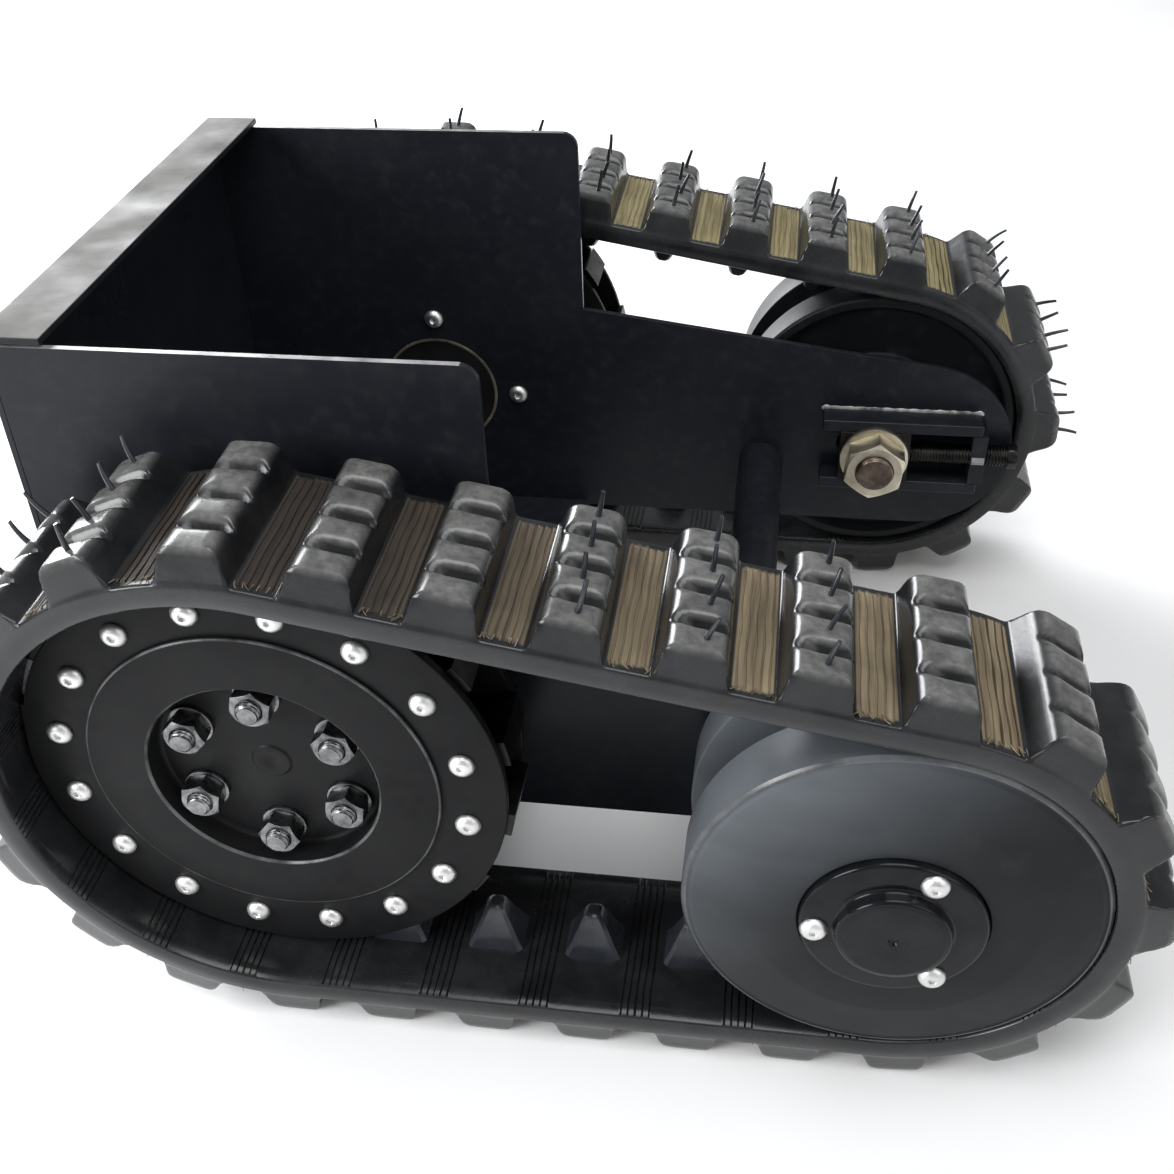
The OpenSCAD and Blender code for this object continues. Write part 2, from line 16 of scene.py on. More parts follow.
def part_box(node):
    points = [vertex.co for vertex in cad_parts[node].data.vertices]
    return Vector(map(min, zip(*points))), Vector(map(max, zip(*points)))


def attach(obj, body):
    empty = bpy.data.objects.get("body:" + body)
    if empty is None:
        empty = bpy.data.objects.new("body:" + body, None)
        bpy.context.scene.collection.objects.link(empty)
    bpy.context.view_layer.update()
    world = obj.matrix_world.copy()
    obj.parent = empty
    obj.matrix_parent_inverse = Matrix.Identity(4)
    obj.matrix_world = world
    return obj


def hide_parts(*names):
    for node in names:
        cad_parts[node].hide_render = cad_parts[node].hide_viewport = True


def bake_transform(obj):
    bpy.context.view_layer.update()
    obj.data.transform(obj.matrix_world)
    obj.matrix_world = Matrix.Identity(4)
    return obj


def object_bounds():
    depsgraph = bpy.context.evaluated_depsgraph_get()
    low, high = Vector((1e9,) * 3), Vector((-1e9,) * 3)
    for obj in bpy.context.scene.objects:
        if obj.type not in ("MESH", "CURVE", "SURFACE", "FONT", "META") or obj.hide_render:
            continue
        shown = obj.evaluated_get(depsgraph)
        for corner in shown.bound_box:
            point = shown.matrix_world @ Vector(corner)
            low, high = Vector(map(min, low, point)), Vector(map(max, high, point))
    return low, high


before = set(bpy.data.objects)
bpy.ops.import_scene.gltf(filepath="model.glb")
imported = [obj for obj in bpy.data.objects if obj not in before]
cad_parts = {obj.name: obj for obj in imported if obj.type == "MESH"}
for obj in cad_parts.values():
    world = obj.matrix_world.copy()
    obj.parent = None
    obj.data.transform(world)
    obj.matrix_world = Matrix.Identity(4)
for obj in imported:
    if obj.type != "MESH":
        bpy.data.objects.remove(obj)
cad_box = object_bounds()

MM = 0.001
SIDES = {"right": -1, "left": 1}


# ---------- Sizes, from the frame ----------

def local_box(node):
    """A node's box in its side's millimetres: (lowest, highest), as X along, Y up, Z outward."""
    lo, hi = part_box(node)
    outward = sorted((abs(lo.y), abs(hi.y)))
    return np.array((lo.x, lo.z, outward[0])) / MM, np.array((hi.x, hi.z, outward[1])) / MM


def middle(node):
    low, high = local_box(node)
    return (low + high) / 2


DISC_LOW, DISC_HIGH = local_box("right_outer_disc")
DRIVE = middle("right_outer_disc")
DISC_R = (DISC_HIGH[0] - DISC_LOW[0]) / 2
DISC_T = DISC_HIGH[2] - DISC_LOW[2]
DISC_FACE = DISC_HIGH[2]
INNER_DISC = local_box("right_inner_disc")
HUB_LOW, HUB_HIGH = local_box("right_drive_hub")
HUB_R = (HUB_HIGH[0] - HUB_LOW[0]) / 2
IDLER = middle("right_idler_outer_half")
IDLER_OUT = local_box("right_idler_outer_half")
IDLER_IN = local_box("right_idler_inner_half")
IDLER_HUB = local_box("right_idler_hub")
IDLER_CAP = local_box("right_idler_cap")
IDLER_R = (IDLER_OUT[1][0] - IDLER_OUT[0][0]) / 2
CAP_R = (IDLER_CAP[1][0] - IDLER_CAP[0][0]) / 2
POCKET_R = CAP_R + 0.2
AXLE = local_box("right_idler_axle")
BELT_LOW, BELT_HIGH = local_box("right_track_belt")
PLATE = local_box("right_side_plate")
SCREW = local_box("right_tension_screw")
NUTS = local_box("right_axle_nuts")

# Sizes that the boxes don't give, mostly as in the CAD
HUB_BORE_R = 50
RECESS_R = 47.0
HUB_FLOOR = HUB_LOW[2] + 5
INNER_DISC_BORE = 58
RIM_SCREW_R = 83
RIM_PHASE = 101
STUD_CIRCLE_R = 35
STUD_R = 5
MOTOR_SCREW_R = 45
SPIGOT_R = 32
IDLER_BORE = 34
IDLER_GROOVE_R = 56
BEARING_R = 23.5
BEARING_T = 14
DOME_H = 5.5
CAP_BOSS_H = 5.5
CAP_SCREW_R = 28.8
CAP_PHASE = 65
AXLE_R = 10
COLLAR_R = 14
NOSE_R = 8
AXLE_NUT_T = 14
# A little smaller than the CAD's 9.24 and 10 mm
HUB_NUT_CORNER = 8.9
HUB_WASHER_R = 9.4
HUB_WASHER_T = 2

# Belt: the same rule as the CAD's, from the two wheels and the number of bars and lugs
BAR_COUNT = 16
LUG_COUNT = 26
HUMPS = 4
BAND_T = 10
LUG_H = 14
LUG_TOP = BAND_T + LUG_H
LUG_FOOT = 26
LUG_CREST = 20
LUG_END_SLOPE = 3.5
GUIDE_H = 20
GUIDE_FOOT = 24
GUIDE_CREST = 8
GUIDE_W = 21
GUIDE_CREST_W = 9
BELT_R1 = DRIVE[1] - LUG_TOP
BELT_R2 = IDLER[1] - LUG_TOP
WHEELBASE = IDLER[0] - DRIVE[0]
TRACK_W = BELT_HIGH[2] - BELT_LOW[2]
HUMP_W = TRACK_W / HUMPS
TILT = 2 * math.atan((BELT_R1 - BELT_R2) / WHEELBASE)
TURNS = LUG_COUNT / BAR_COUNT
INNER_PATH = 2 * WHEELBASE + BELT_R1 * (math.pi + TILT) + BELT_R2 * (math.pi - TILT)
CORD = (INNER_PATH - TURNS * 2 * math.pi * BELT_R1) / (2 * math.pi * (TURNS - 1))
DRIVE_CORD_R = BELT_R1 + CORD
IDLER_CORD_R = BELT_R2 + CORD
PITCH = 2 * math.pi * DRIVE_CORD_R / BAR_COUNT
DRIVE_ARC = (math.pi + TILT) * DRIVE_CORD_R
IDLER_ARC = (math.pi - TILT) * IDLER_CORD_R
FIRST_LUG = (math.radians(RIM_PHASE - 180 / BAR_COUNT - 90) + TILT) * DRIVE_CORD_R
LOOP = LUG_COUNT * PITCH


# ---------- Shapes in a side's millimetres ----------

class Shape:
    """Vertices, faces and each face's material number."""

    def __init__(self, verts, faces, kinds=None):
        self.verts = np.asarray(verts, float).reshape(-1, 3)
        self.faces = [tuple(int(i) for i in f) for f in faces]
        self.kinds = list(kinds) if kinds is not None else [0] * len(self.faces)

    def moved(self, x=0.0, y=0.0, z=0.0):
        return Shape(self.verts + (x, y, z), self.faces, self.kinds)

    def placed(self, matrix):
        turned = self.verts @ np.array(matrix.to_3x3()).T + np.array(matrix.to_translation())
        faces = self.faces
        if matrix.to_3x3().determinant() < 0:
            faces = [f[::-1] for f in faces]
        return Shape(turned, faces, self.kinds)

    def turned(self, degrees, axis="Z"):
        return self.placed(Matrix.Rotation(math.radians(degrees), 4, axis))


def joined(shapes):
    verts, faces, kinds, start = [], [], [], 0
    for s in shapes:
        verts.append(s.verts)
        faces += [tuple(i + start for i in f) for f in s.faces]
        kinds += s.kinds
        start += len(s.verts)
    return Shape(np.vstack(verts), faces, kinds)


def ring_of(shape, count, radius, phase=0.0):
    """Copies of a shape on a circle about Z, each turned to face outward."""
    return joined([shape.moved(x=radius).turned(phase + i * 360 / count) for i in range(count)])


def rounded(points, radius, steps=3):
    """A closed outline with its corners rounded, by one radius or by one for each point."""
    pts = [np.array(p, float) for p in points]
    radii = radius if hasattr(radius, "__len__") else [radius] * len(pts)
    out = []
    for i, p in enumerate(pts):
        before, after = pts[i - 1] - p, pts[(i + 1) % len(pts)] - p
        la, lb = np.linalg.norm(before), np.linalg.norm(after)
        if radii[i] <= 0 or min(la, lb) < 1e-6:
            out.append(p)
            continue
        ua, ub = before / la, after / lb
        half = math.acos(max(-1, min(1, float(ua @ ub)))) / 2
        if half > math.radians(88) or half < math.radians(3):
            out.append(p)
            continue
        back = min(radii[i] / math.tan(half), 0.45 * la, 0.45 * lb)
        r = back * math.tan(half)
        centre = p + (ua + ub) / np.linalg.norm(ua + ub) * (r / math.sin(half))
        start, end = p + ua * back - centre, p + ub * back - centre
        sweep = math.pi - 2 * half
        for k in range(steps + 1):
            t = k / steps
            a = math.sin((1 - t) * sweep) / math.sin(sweep)
            b = math.sin(t * sweep) / math.sin(sweep)
            out.append(centre + start * a + end * b)
    return out


def lathe(profile, segments=96):
    """A closed outline of (radius, height) points turned about Z. Points on the axis become one pole each."""
    verts, rings = [], []
    for r, z in profile:
        if r < 1e-6:
            rings.append([len(verts)] * segments)
            verts.append((0, 0, z))
        else:
            rings.append(list(range(len(verts), len(verts) + segments)))
            for k in range(segments):
                a = 2 * math.pi * k / segments
                verts.append((r * math.cos(a), r * math.sin(a), z))
    faces = []
    for i in range(len(rings)):
        a, b = rings[i], rings[(i + 1) % len(rings)]
        if a[0] == a[1] and b[0] == b[1]:
            continue
        for k in range(segments):
            n = (k + 1) % segments
            loop = [a[k], a[n], b[n], b[k]]
            faces.append(tuple(dict.fromkeys(loop)))
    return facing_out(Shape(verts, faces))


def facing_out(shape):
    """The shape with its faces turned over if its volume is negative."""
    volume = 0.0
    for f in shape.faces:
        a = shape.verts[f[0]]
        for i in range(1, len(f) - 1):
            volume += float(np.dot(a, np.cross(shape.verts[f[i]], shape.verts[f[i + 1]])))
    return shape if volume > 0 else Shape(shape.verts, [f[::-1] for f in shape.faces])


def bridge(rings, closed_along=False, capped=False):
    """Rings of equal length joined in order. Each ring is a closed loop of points."""
    count = len(rings[0])
    verts = np.vstack([np.asarray(r, float) for r in rings])
    faces = []
    for i in range(len(rings) if closed_along else len(rings) - 1):
        a, b = i * count, (i + 1) % len(rings) * count
        faces += [(a + k, a + (k + 1) % count, b + (k + 1) % count, b + k) for k in range(count)]
    if capped:
        faces.append(tuple(range(count - 1, -1, -1)))
        faces.append(tuple(range((len(rings) - 1) * count, len(rings) * count)))
    return facing_out(Shape(verts, faces))


def hexagon(corner_r, count, z=0.0, shrink=0.0):
    """count points round a hexagon; shrink pulls its corners in towards the flats."""
    flat = corner_r * math.cos(math.pi / 6)
    points = []
    for k in range(count):
        a = 2 * math.pi * k / count
        off = (a + math.pi / 6) % (math.pi / 3) - math.pi / 6
        r = flat / math.cos(math.pi / 6 - abs(off))
        r = min(r, corner_r - shrink)
        points.append((r * math.cos(a), r * math.sin(a), z))
    return points


def circle(r, count, z=0.0):
    step = 2 * math.pi / count
    return [(r * math.cos(k * step), r * math.sin(k * step), z) for k in range(count)]


def hex_nut(corner_r, bore, height, count=48):
    """A nut with both faces chamfered to a cone and its bore countersunk."""
    face_r = 0.98 * corner_r * math.cos(math.pi / 6)
    chamfer_slope = 0.58
    sink = 0.6

    def chamfered(z, up):
        corners = hexagon(corner_r, count)
        return [(x, y, z - up * chamfer_slope * max(0.0, math.hypot(x, y) - face_r)) for x, y, _ in corners]
    rings = [
        circle(bore + sink, count, height), circle(face_r, count, height), chamfered(height, 1),
        chamfered(0, -1), circle(face_r, count, 0), circle(bore + sink, count, 0),
        circle(bore, count, sink), circle(bore, count, height - sink),
    ]
    return bridge(rings, closed_along=True)


def washer(outer, inner, height):
    return lathe(rounded([(inner, 0), (outer, 0), (outer, height), (inner, height)], 0.25, 2), 64)


def threaded_rod(radius, pitch, length, tip, depth, count=24):
    """A rod along Z with a true helical thread, chamfered over tip at its far end."""
    rings_a_turn = 6
    chamfer = 0.8
    steps = int(round(length / pitch * rings_a_turn))
    rings = []
    for i in range(steps + 1):
        z = length * i / steps
        left = min(1.0, (length - z) / tip) if tip > 0 else 1.0
        ring = []
        for k in range(count):
            phase = (z / pitch - k / count) % 1.0
            groove = depth * (1 - abs(2 * phase - 1)) ** 1.2
            r = radius - groove - (1 - left) * chamfer
            a = 2 * math.pi * k / count
            ring.append((r * math.cos(a), r * math.sin(a), z))
        rings.append(ring)
    return bridge(rings, capped=True)


def button_head():
    """The dome of an M6 button-head screw with a hexagonal socket, standing on Z = 0."""
    head_r, head_h = 5.25, 3.3
    socket_r, socket_depth = 1.5, 1.2
    lip = 0.35
    count = 36
    dome = [circle(head_r - 0.25, count, 0), circle(head_r, count, 0.25)]
    for width, height in ((1.0, 0.25), (0.93, 0.5), (0.8, 0.74), (0.64, 0.91), (0.5, 1.0)):
        dome.append(circle(width * head_r, count, height * head_h))
    dome += [
        hexagon(socket_r + lip, count, head_h), hexagon(socket_r, count, head_h - lip),
        hexagon(socket_r, count, head_h - socket_depth),
    ]
    return bridge(dome, capped=True)


def facing_in(shape):
    """A shape turned over, to stand on a face that looks towards the middle plane."""
    return shape.turned(180, "X")


# ---------- From shapes to pieces ----------

def side_matrix(side):
    """From a side's millimetres to the frame's metres."""
    s = SIDES[side] * MM
    return Matrix(((MM, 0, 0, 0), (0, 0, s, 0), (0, MM, 0, 0), (0, 0, 0, 1)))


def added(name, data):
    """A new object in the scene."""
    o = bpy.data.objects.new(name, data)
    bpy.context.scene.collection.objects.link(o)
    return o


def shade(mesh, kinds, sharp_degrees):
    """Each face's material number, and smooth shading except across edges sharper than an angle."""
    mesh.polygons.foreach_set("material_index", kinds)
    mesh.polygons.foreach_set("use_smooth", [True] * len(mesh.polygons))
    mesh.update()
    mesh.set_sharp_from_angle(angle=math.radians(sharp_degrees))


def settle(o, body, nodes):
    """The piece rides on its body and stands for its CAD nodes."""
    if body:
        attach(o, body)
    if nodes:
        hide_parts(*nodes)
    return o


def make(piece, shape, side, body, materials, node=None, sharp_degrees=38):
    """A piece from a shape in a side's millimetres. The side goes before the piece's and the node's names."""
    name = f"{side}_{piece}"
    whole = shape.placed(side_matrix(side))
    mesh = bpy.data.meshes.new(name)
    mesh.from_pydata([tuple(v) for v in whole.verts], [], whole.faces)
    for m in materials:
        mesh.materials.append(m)
    shade(mesh, whole.kinds, sharp_degrees)
    return settle(added(name, mesh), body, [f"{side}_{node}"] if node else [])


def softened(node, body, material, width, name, top=None):
    """A CAD node's exact shape with rounded edges. top is a material for the level faces at its top."""
    bm = bmesh.new()
    bm.from_mesh(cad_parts[node].data)
    bmesh.ops.remove_doubles(bm, verts=bm.verts, dist=2e-6)
    bmesh.ops.dissolve_limit(bm, angle_limit=math.radians(0.6), verts=bm.verts, edges=bm.edges)
    bmesh.ops.recalc_face_normals(bm, faces=bm.faces)
    mesh = bpy.data.meshes.new(name)
    bm.to_mesh(mesh)
    bm.free()
    mesh.materials.append(material)
    if top:
        mesh.materials.append(top)
    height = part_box(node)[1].z - 0.1 * MM
    kinds = [int(top is not None and p.normal.z > 0.9 and p.center.z > height) for p in mesh.polygons]
    shade(mesh, kinds, 30)
    o = added(name, mesh)
    bevel = o.modifiers.new("Edges", "BEVEL")
    bevel.width = width * MM
    bevel.segments = 2
    bevel.limit_method = "ANGLE"
    bevel.angle_limit = math.radians(35)
    bevel.harden_normals = True
    return settle(o, body, [node])


def dress(material, *nodes):
    """Gives CAD nodes that stay as they are a material."""
    for n in nodes:
        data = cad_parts[n].data
        data.materials.clear()
        data.materials.append(material)


# ---------- Material nodes ----------

class Finish:
    """A Principled material in object coordinates, which are the frame's metres."""

    def __init__(self, name, **values):
        self.material = bpy.data.materials.new(name)
        self.material.use_nodes = True
        self.tree = self.material.node_tree
        self.shader = self.tree.nodes["Principled BSDF"]
        self.place = self.node("ShaderNodeTexCoord", {}).outputs["Object"]
        for socket, value in values.items():
            self.shader.inputs[socket.replace("_", " ")].default_value = value

    def node(self, kind, inputs, **settings):
        """A node with each input set to a value or linked from another node."""
        n = self.tree.nodes.new(kind)
        for key, value in settings.items():
            setattr(n, key, value)
        for key, value in inputs.items():
            socket = n.inputs[key]
            if isinstance(value, bpy.types.NodeSocket):
                self.tree.links.new(value, socket)
            else:
                socket.default_value = (*value, 1.0) if socket.type == "RGBA" else value
        return n

    def noise(self, scale, detail=3.0, rough=0.5, stretch=None):
        place = self.place
        if stretch:
            place = self.node("ShaderNodeMapping", {"Vector": place, "Scale": stretch}).outputs["Vector"]
        inputs = {"Vector": place, "Scale": scale, "Detail": detail, "Roughness": rough}
        return self.node("ShaderNodeTexNoise", inputs).outputs["Fac"]

    def attribute(self, name):
        return self.node("ShaderNodeAttribute", {}, attribute_name=name).outputs["Fac"]

    def along(self, axis):
        """The object coordinate along one axis."""
        return self.node("ShaderNodeSeparateXYZ", {"Vector": self.place}).outputs[axis]

    def remap(self, fac, low, high, to_low=0.0, to_high=1.0):
        inputs = {"Value": fac, "From Min": low, "From Max": high, "To Min": to_low, "To Max": to_high}
        return self.node("ShaderNodeMapRange", inputs).outputs["Result"]

    def maths(self, operation, a, b):
        return self.node("ShaderNodeMath", {0: a, 1: b}, operation=operation).outputs["Value"]

    def blend(self, fac, a, b):
        """Colour a where fac is 0 and b where it is 1."""
        return self.node("ShaderNodeMix", {"Factor": fac, 6: a, 7: b}, data_type="RGBA").outputs[2]

    def colour(self, out):
        self.tree.links.new(out, self.shader.inputs["Base Color"])
        return self

    def rough(self, out):
        self.tree.links.new(out, self.shader.inputs["Roughness"])
        return self

    def bump(self, height, strength, distance_mm):
        inputs = {"Height": height, "Strength": strength, "Distance": distance_mm * MM}
        n = self.node("ShaderNodeBump", inputs)
        self.tree.links.new(n.outputs["Normal"], self.shader.inputs["Normal"])
        return self

    def tone(self, fac, low, high, dark, light):
        """A base colour from dark to light as fac goes from low to high."""
        return self.colour(self.blend(self.remap(fac, low, high), dark, light))

    def polish(self, scale, low, high, detail=4.0):
        """A roughness that drifts between low and high."""
        return self.rough(self.remap(self.noise(scale, detail), 0.3, 0.7, low, high))

    def grain(self, scale, detail, strength, distance_mm):
        return self.bump(self.noise(scale, detail), strength, distance_mm)


def gloss_paint():
    """Gloss black paint over sheet: slight orange peel and a film of dust."""
    f = Finish("gloss_paint", Specular_IOR_Level=0.22)
    dust = f.remap(f.noise(14, 5, 0.6), 0.4, 0.75)
    fine = f.remap(f.noise(150, 4, 0.6), 0.5, 0.8)
    base = f.blend(dust, (0.009, 0.0105, 0.0145), (0.014, 0.0155, 0.0195))
    f.colour(f.blend(fine, base, (0.02, 0.021, 0.024)))
    f.rough(f.remap(f.noise(22, 4), 0.3, 0.75, 0.26, 0.42))
    f.grain(420, 2, 0.12, 0.15)
    return f.material


def flange_paint():
    """The same paint on the panel's level top flange, paler grey in patches and streaks."""
    f = Finish("flange_paint", Specular_IOR_Level=0.12)
    worn = f.remap(f.noise(55, 6, 0.65), 0.3, 0.62)
    streak = f.remap(f.noise(40, 3, 0.5, stretch=(1.0, 0.12, 1.0)), 0.35, 0.7)
    base = f.blend(worn, (0.045, 0.043, 0.039), (0.12, 0.117, 0.108))
    f.colour(f.blend(streak, base, (0.1, 0.096, 0.088)))
    f.polish(35, 0.45, 0.7)
    f.grain(300, 3, 0.25, 0.2)
    return f.material


def cut_edge():
    """Grey on the sheet's level top edge, paler in places."""
    f = Finish("cut_edge", Metallic=0.3)
    f.tone(f.noise(90, 5, 0.6), 0.3, 0.6, (0.1, 0.1, 0.1), (0.32, 0.32, 0.32))
    return f.polish(60, 0.35, 0.5).grain(500, 3, 0.2, 0.1).material


def weld_highlight():
    """Pale grey on the weld bead along the rail's top: a painted highlight."""
    f = Finish("weld_highlight", Metallic=0.2)
    f.tone(f.noise(120, 4, 0.6), 0.35, 0.6, (0.08, 0.08, 0.078), (0.42, 0.42, 0.41))
    return f.polish(80, 0.3, 0.45).grain(900, 3, 0.3, 0.15).material


def seam_sealer():
    """Brownish sealer round the motor's spigot."""
    f = Finish("seam_sealer")
    f.tone(f.noise(70, 5, 0.6), 0.35, 0.65, (0.05, 0.042, 0.033), (0.16, 0.145, 0.12))
    return f.polish(90, 0.5, 0.7).grain(500, 3, 0.3, 0.15).material


def satin_black():
    """Satin black coating on the wheels, a little dusty."""
    f = Finish("satin_black", Specular_IOR_Level=0.11)
    dust = f.remap(f.noise(18, 6, 0.62), 0.38, 0.72)
    fine = f.remap(f.noise(160, 3), 0.35, 0.7)
    base = f.blend(dust, (0.006, 0.0062, 0.0068), (0.015, 0.0153, 0.0155))
    f.colour(f.blend(fine, base, (0.010, 0.0103, 0.011)))
    f.rough(f.remap(f.noise(26, 4), 0.3, 0.72, 0.34, 0.5))
    f.grain(600, 2, 0.2, 0.12)
    return f.material


def cast_nylon():
    """Dark grey cast plastic with rub marks, and a painted highlight that brightens towards the upper left of
    the right wheel's face only.
    """
    f = Finish("cast_nylon", Specular_IOR_Level=0.15)
    cloud = f.remap(f.noise(11, 4, 0.55), 0.35, 0.7)
    rubs = f.remap(f.noise(70, 5, 0.6), 0.55, 0.8)
    base = f.blend(cloud, (0.006, 0.0068, 0.0078), (0.012, 0.0132, 0.0145))
    base = f.blend(rubs, base, (0.018, 0.0195, 0.021))
    # Painted highlight, not dust: the mask below paints the face paler towards its upper left, standing in
    # for a reflection, and is left off the left idler
    highlight_slant = f.maths("SUBTRACT", f.along("Z"), f.along("X"))
    highlight_reach = f.maths("ADD", highlight_slant, f.maths("MULTIPLY", f.noise(16, 3, stretch=(1.0, 1.0, 2.5)), 0.05))
    centre = (IDLER[1] - IDLER[0]) * MM
    dust = f.maths("POWER", f.remap(highlight_reach, centre - 0.02, centre + 0.14), 2.8)
    dust = f.maths("MULTIPLY", dust, f.remap(f.along("Y"), -0.1, 0.1, 1.0, 0.0))
    f.colour(f.blend(dust, base, (0.12, 0.133, 0.147)))
    f.polish(30, 0.34, 0.46)
    f.grain(500, 3, 0.18, 0.15)
    return f.material


def rim_highlight_nylon():
    """Paler, glossier plastic along the idler's rim: the paler colour is a painted highlight."""
    f = Finish("rim_highlight_nylon", Specular_IOR_Level=0.45)
    f.tone(f.noise(40, 5, 0.6), 0.35, 0.65, (0.02, 0.022, 0.024), (0.09, 0.095, 0.1))
    return f.polish(60, 0.22, 0.34).grain(500, 3, 0.15, 0.12).material


def cap_plastic():
    """Glossy black moulding of the bearing cap, with a few dull patches."""
    f = Finish("cap_plastic", Specular_IOR_Level=0.18)
    f.tone(f.noise(50, 5, 0.6), 0.4, 0.7, (0.005, 0.0055, 0.007), (0.012, 0.0125, 0.014))
    return f.polish(80, 0.1, 0.2).grain(300, 3, 0.12, 0.12).material


def worn_black():
    """Black coating rubbed thin along an edge."""
    f = Finish("worn_black", Metallic=0.3, Specular_IOR_Level=0.4)
    f.tone(f.noise(70, 5, 0.62), 0.35, 0.62, (0.015, 0.0155, 0.016), (0.12, 0.122, 0.125))
    return f.polish(90, 0.28, 0.42).grain(600, 2, 0.2, 0.12).material


def anodised_case():
    """Black anodised motor case with fine lathe marks."""
    f = Finish("anodised_case", Metallic=0.6)
    marks = f.noise(900, 2, 0.4, stretch=(0.02, 1.0, 0.02))
    f.tone(f.noise(30, 3), 0.3, 0.7, (0.018, 0.018, 0.02), (0.035, 0.035, 0.038))
    f.rough(f.remap(marks, 0.3, 0.7, 0.3, 0.48))
    f.bump(marks, 0.15, 0.1)
    return f.material


def plated_steel(name, dark, light, low, high, scale=45.0):
    """Plated or oiled steel: cloudy tone, uneven polish and fine grain."""
    f = Finish(name, Metallic=1.0)
    f.tone(f.noise(scale, 5, 0.6), 0.32, 0.68, dark, light)
    return f.polish(scale * 3, low, high).grain(1400, 2, 0.15, 0.06).material


def copper_winding():
    """Lacquered copper wire, wound as fine ribs."""
    f = Finish("copper_winding", Metallic=0.9, Coat_Weight=0.4)
    inputs = {"Vector": f.place, "Scale": 260, "Distortion": 1.5}
    wave = f.node("ShaderNodeTexWave", inputs, wave_type="RINGS", rings_direction="Y").outputs["Fac"]
    f.colour(f.blend(wave, (0.2, 0.07, 0.02), (0.62, 0.27, 0.1)))
    f.polish(80, 0.25, 0.4, 3)
    f.bump(wave, 0.6, 0.3)
    return f.material


def tread_rubber():
    """Black rubber, rubbed grey on its crests, with clay on the strips: brown to tan, and paler on the left
    track as painted light; the clay is thinned in the grooves as painted shade.
    """
    f = Finish("tread_rubber", Specular_IOR_Level=0.45)
    patchy = f.noise(42, 6, 0.62)
    fine = f.noise(260, 4, 0.6)
    base = f.blend(f.remap(patchy, 0.35, 0.7), (0.008, 0.0085, 0.0095), (0.02, 0.0207, 0.022))
    rubbed = f.maths("MULTIPLY", f.attribute("rubbed"), f.remap(patchy, 0.25, 0.6, 0.45, 1.0))
    grey = f.blend(f.remap(fine, 0.35, 0.65), (0.085, 0.086, 0.085), (0.16, 0.159, 0.152))
    clay = f.maths("MULTIPLY", f.attribute("clay"), f.remap(patchy, 0.22, 0.5, 0.6, 1.0))
    streak = f.remap(f.noise(420, 3, 0.6, stretch=(1.0, 0.04, 1.0)), 0.3, 0.68)
    brown = f.blend(streak, (0.018, 0.014, 0.011), (0.05, 0.038, 0.03))
    tan = f.blend(streak, (0.12, 0.09, 0.055), (0.29, 0.235, 0.145))
    # Painted light: the left track's strips get this paler clay because they stand in more light
    pale = f.blend(streak, (0.2, 0.165, 0.08), (0.42, 0.36, 0.2))
    near_clay = f.blend(f.remap(f.along("X"), -0.06, 0.07), brown, tan)
    strip = f.blend(f.remap(f.along("Y"), -0.1, 0.1), near_clay, pale)
    f.colour(f.blend(clay, f.blend(rubbed, base, grey), strip))
    f.rough(f.maths("ADD", f.remap(patchy, 0.3, 0.7, 0.2, 0.31), f.maths("MULTIPLY", clay, 0.35)))
    f.bump(fine, 0.25, 0.25)
    return f.material


def frayed_fibre():
    """Pale fibres that stand out of the strips' ends."""
    f = Finish("frayed_fibre")
    f.tone(f.noise(200, 3), 0.35, 0.65, (0.09, 0.07, 0.045), (0.3, 0.25, 0.18))
    return f.polish(120, 0.6, 0.8, 2).grain(1500, 2, 0.3, 0.05).material


def plain_rubber():
    """The guide lugs' and vents' black rubber, with a sheen on its worn edges."""
    f = Finish("plain_rubber", Specular_IOR_Level=0.6)
    f.tone(f.noise(60, 5, 0.6), 0.35, 0.7, (0.012, 0.014, 0.018), (0.028, 0.032, 0.04))
    return f.polish(90, 0.18, 0.34).grain(700, 3, 0.2, 0.12).material


def floor_finish():
    """Plain matt white."""
    f = Finish("pale_floor")
    f.tone(f.noise(3, 4), 0.3, 0.7, (0.86, 0.86, 0.86), (0.9, 0.9, 0.9))
    f.polish(12, 0.75, 0.85, 3)
    return f.material


PAINT = gloss_paint()
FLANGE = flange_paint()
SATIN = satin_black()
NYLON = cast_nylon()
RIM_HIGHLIGHT_NYLON = rim_highlight_nylon()
CAP_PLASTIC = cap_plastic()
WORN = worn_black()
CASE = anodised_case()
ZINC = plated_steel("zinc_plate", (0.66, 0.66, 0.65), (0.86, 0.86, 0.85), 0.34, 0.5)
YELLOW_ZINC = plated_steel("yellow_zinc", (0.42, 0.37, 0.27), (0.82, 0.76, 0.62), 0.3, 0.45)
EDGE = cut_edge()
WELD_HIGHLIGHT = weld_highlight()
SEAM = seam_sealer()
BLACK_OXIDE = plated_steel("black_oxide", (0.012, 0.012, 0.013), (0.05, 0.048, 0.045), 0.3, 0.48)
DARK_STEEL = plated_steel("oiled_steel", (0.09, 0.092, 0.095), (0.3, 0.305, 0.31), 0.22, 0.4, 160)
BROWN_STEEL = plated_steel("browned_steel", (0.07, 0.05, 0.042), (0.25, 0.2, 0.165), 0.28, 0.45, 90)
BRIGHT_STEEL = plated_steel("ground_steel", (0.6, 0.61, 0.62), (0.75, 0.76, 0.77), 0.12, 0.25)
COPPER = copper_winding()
TREAD = tread_rubber()
RUBBER = plain_rubber()
FIBRE = frayed_fibre()


# ---------- Track ----------

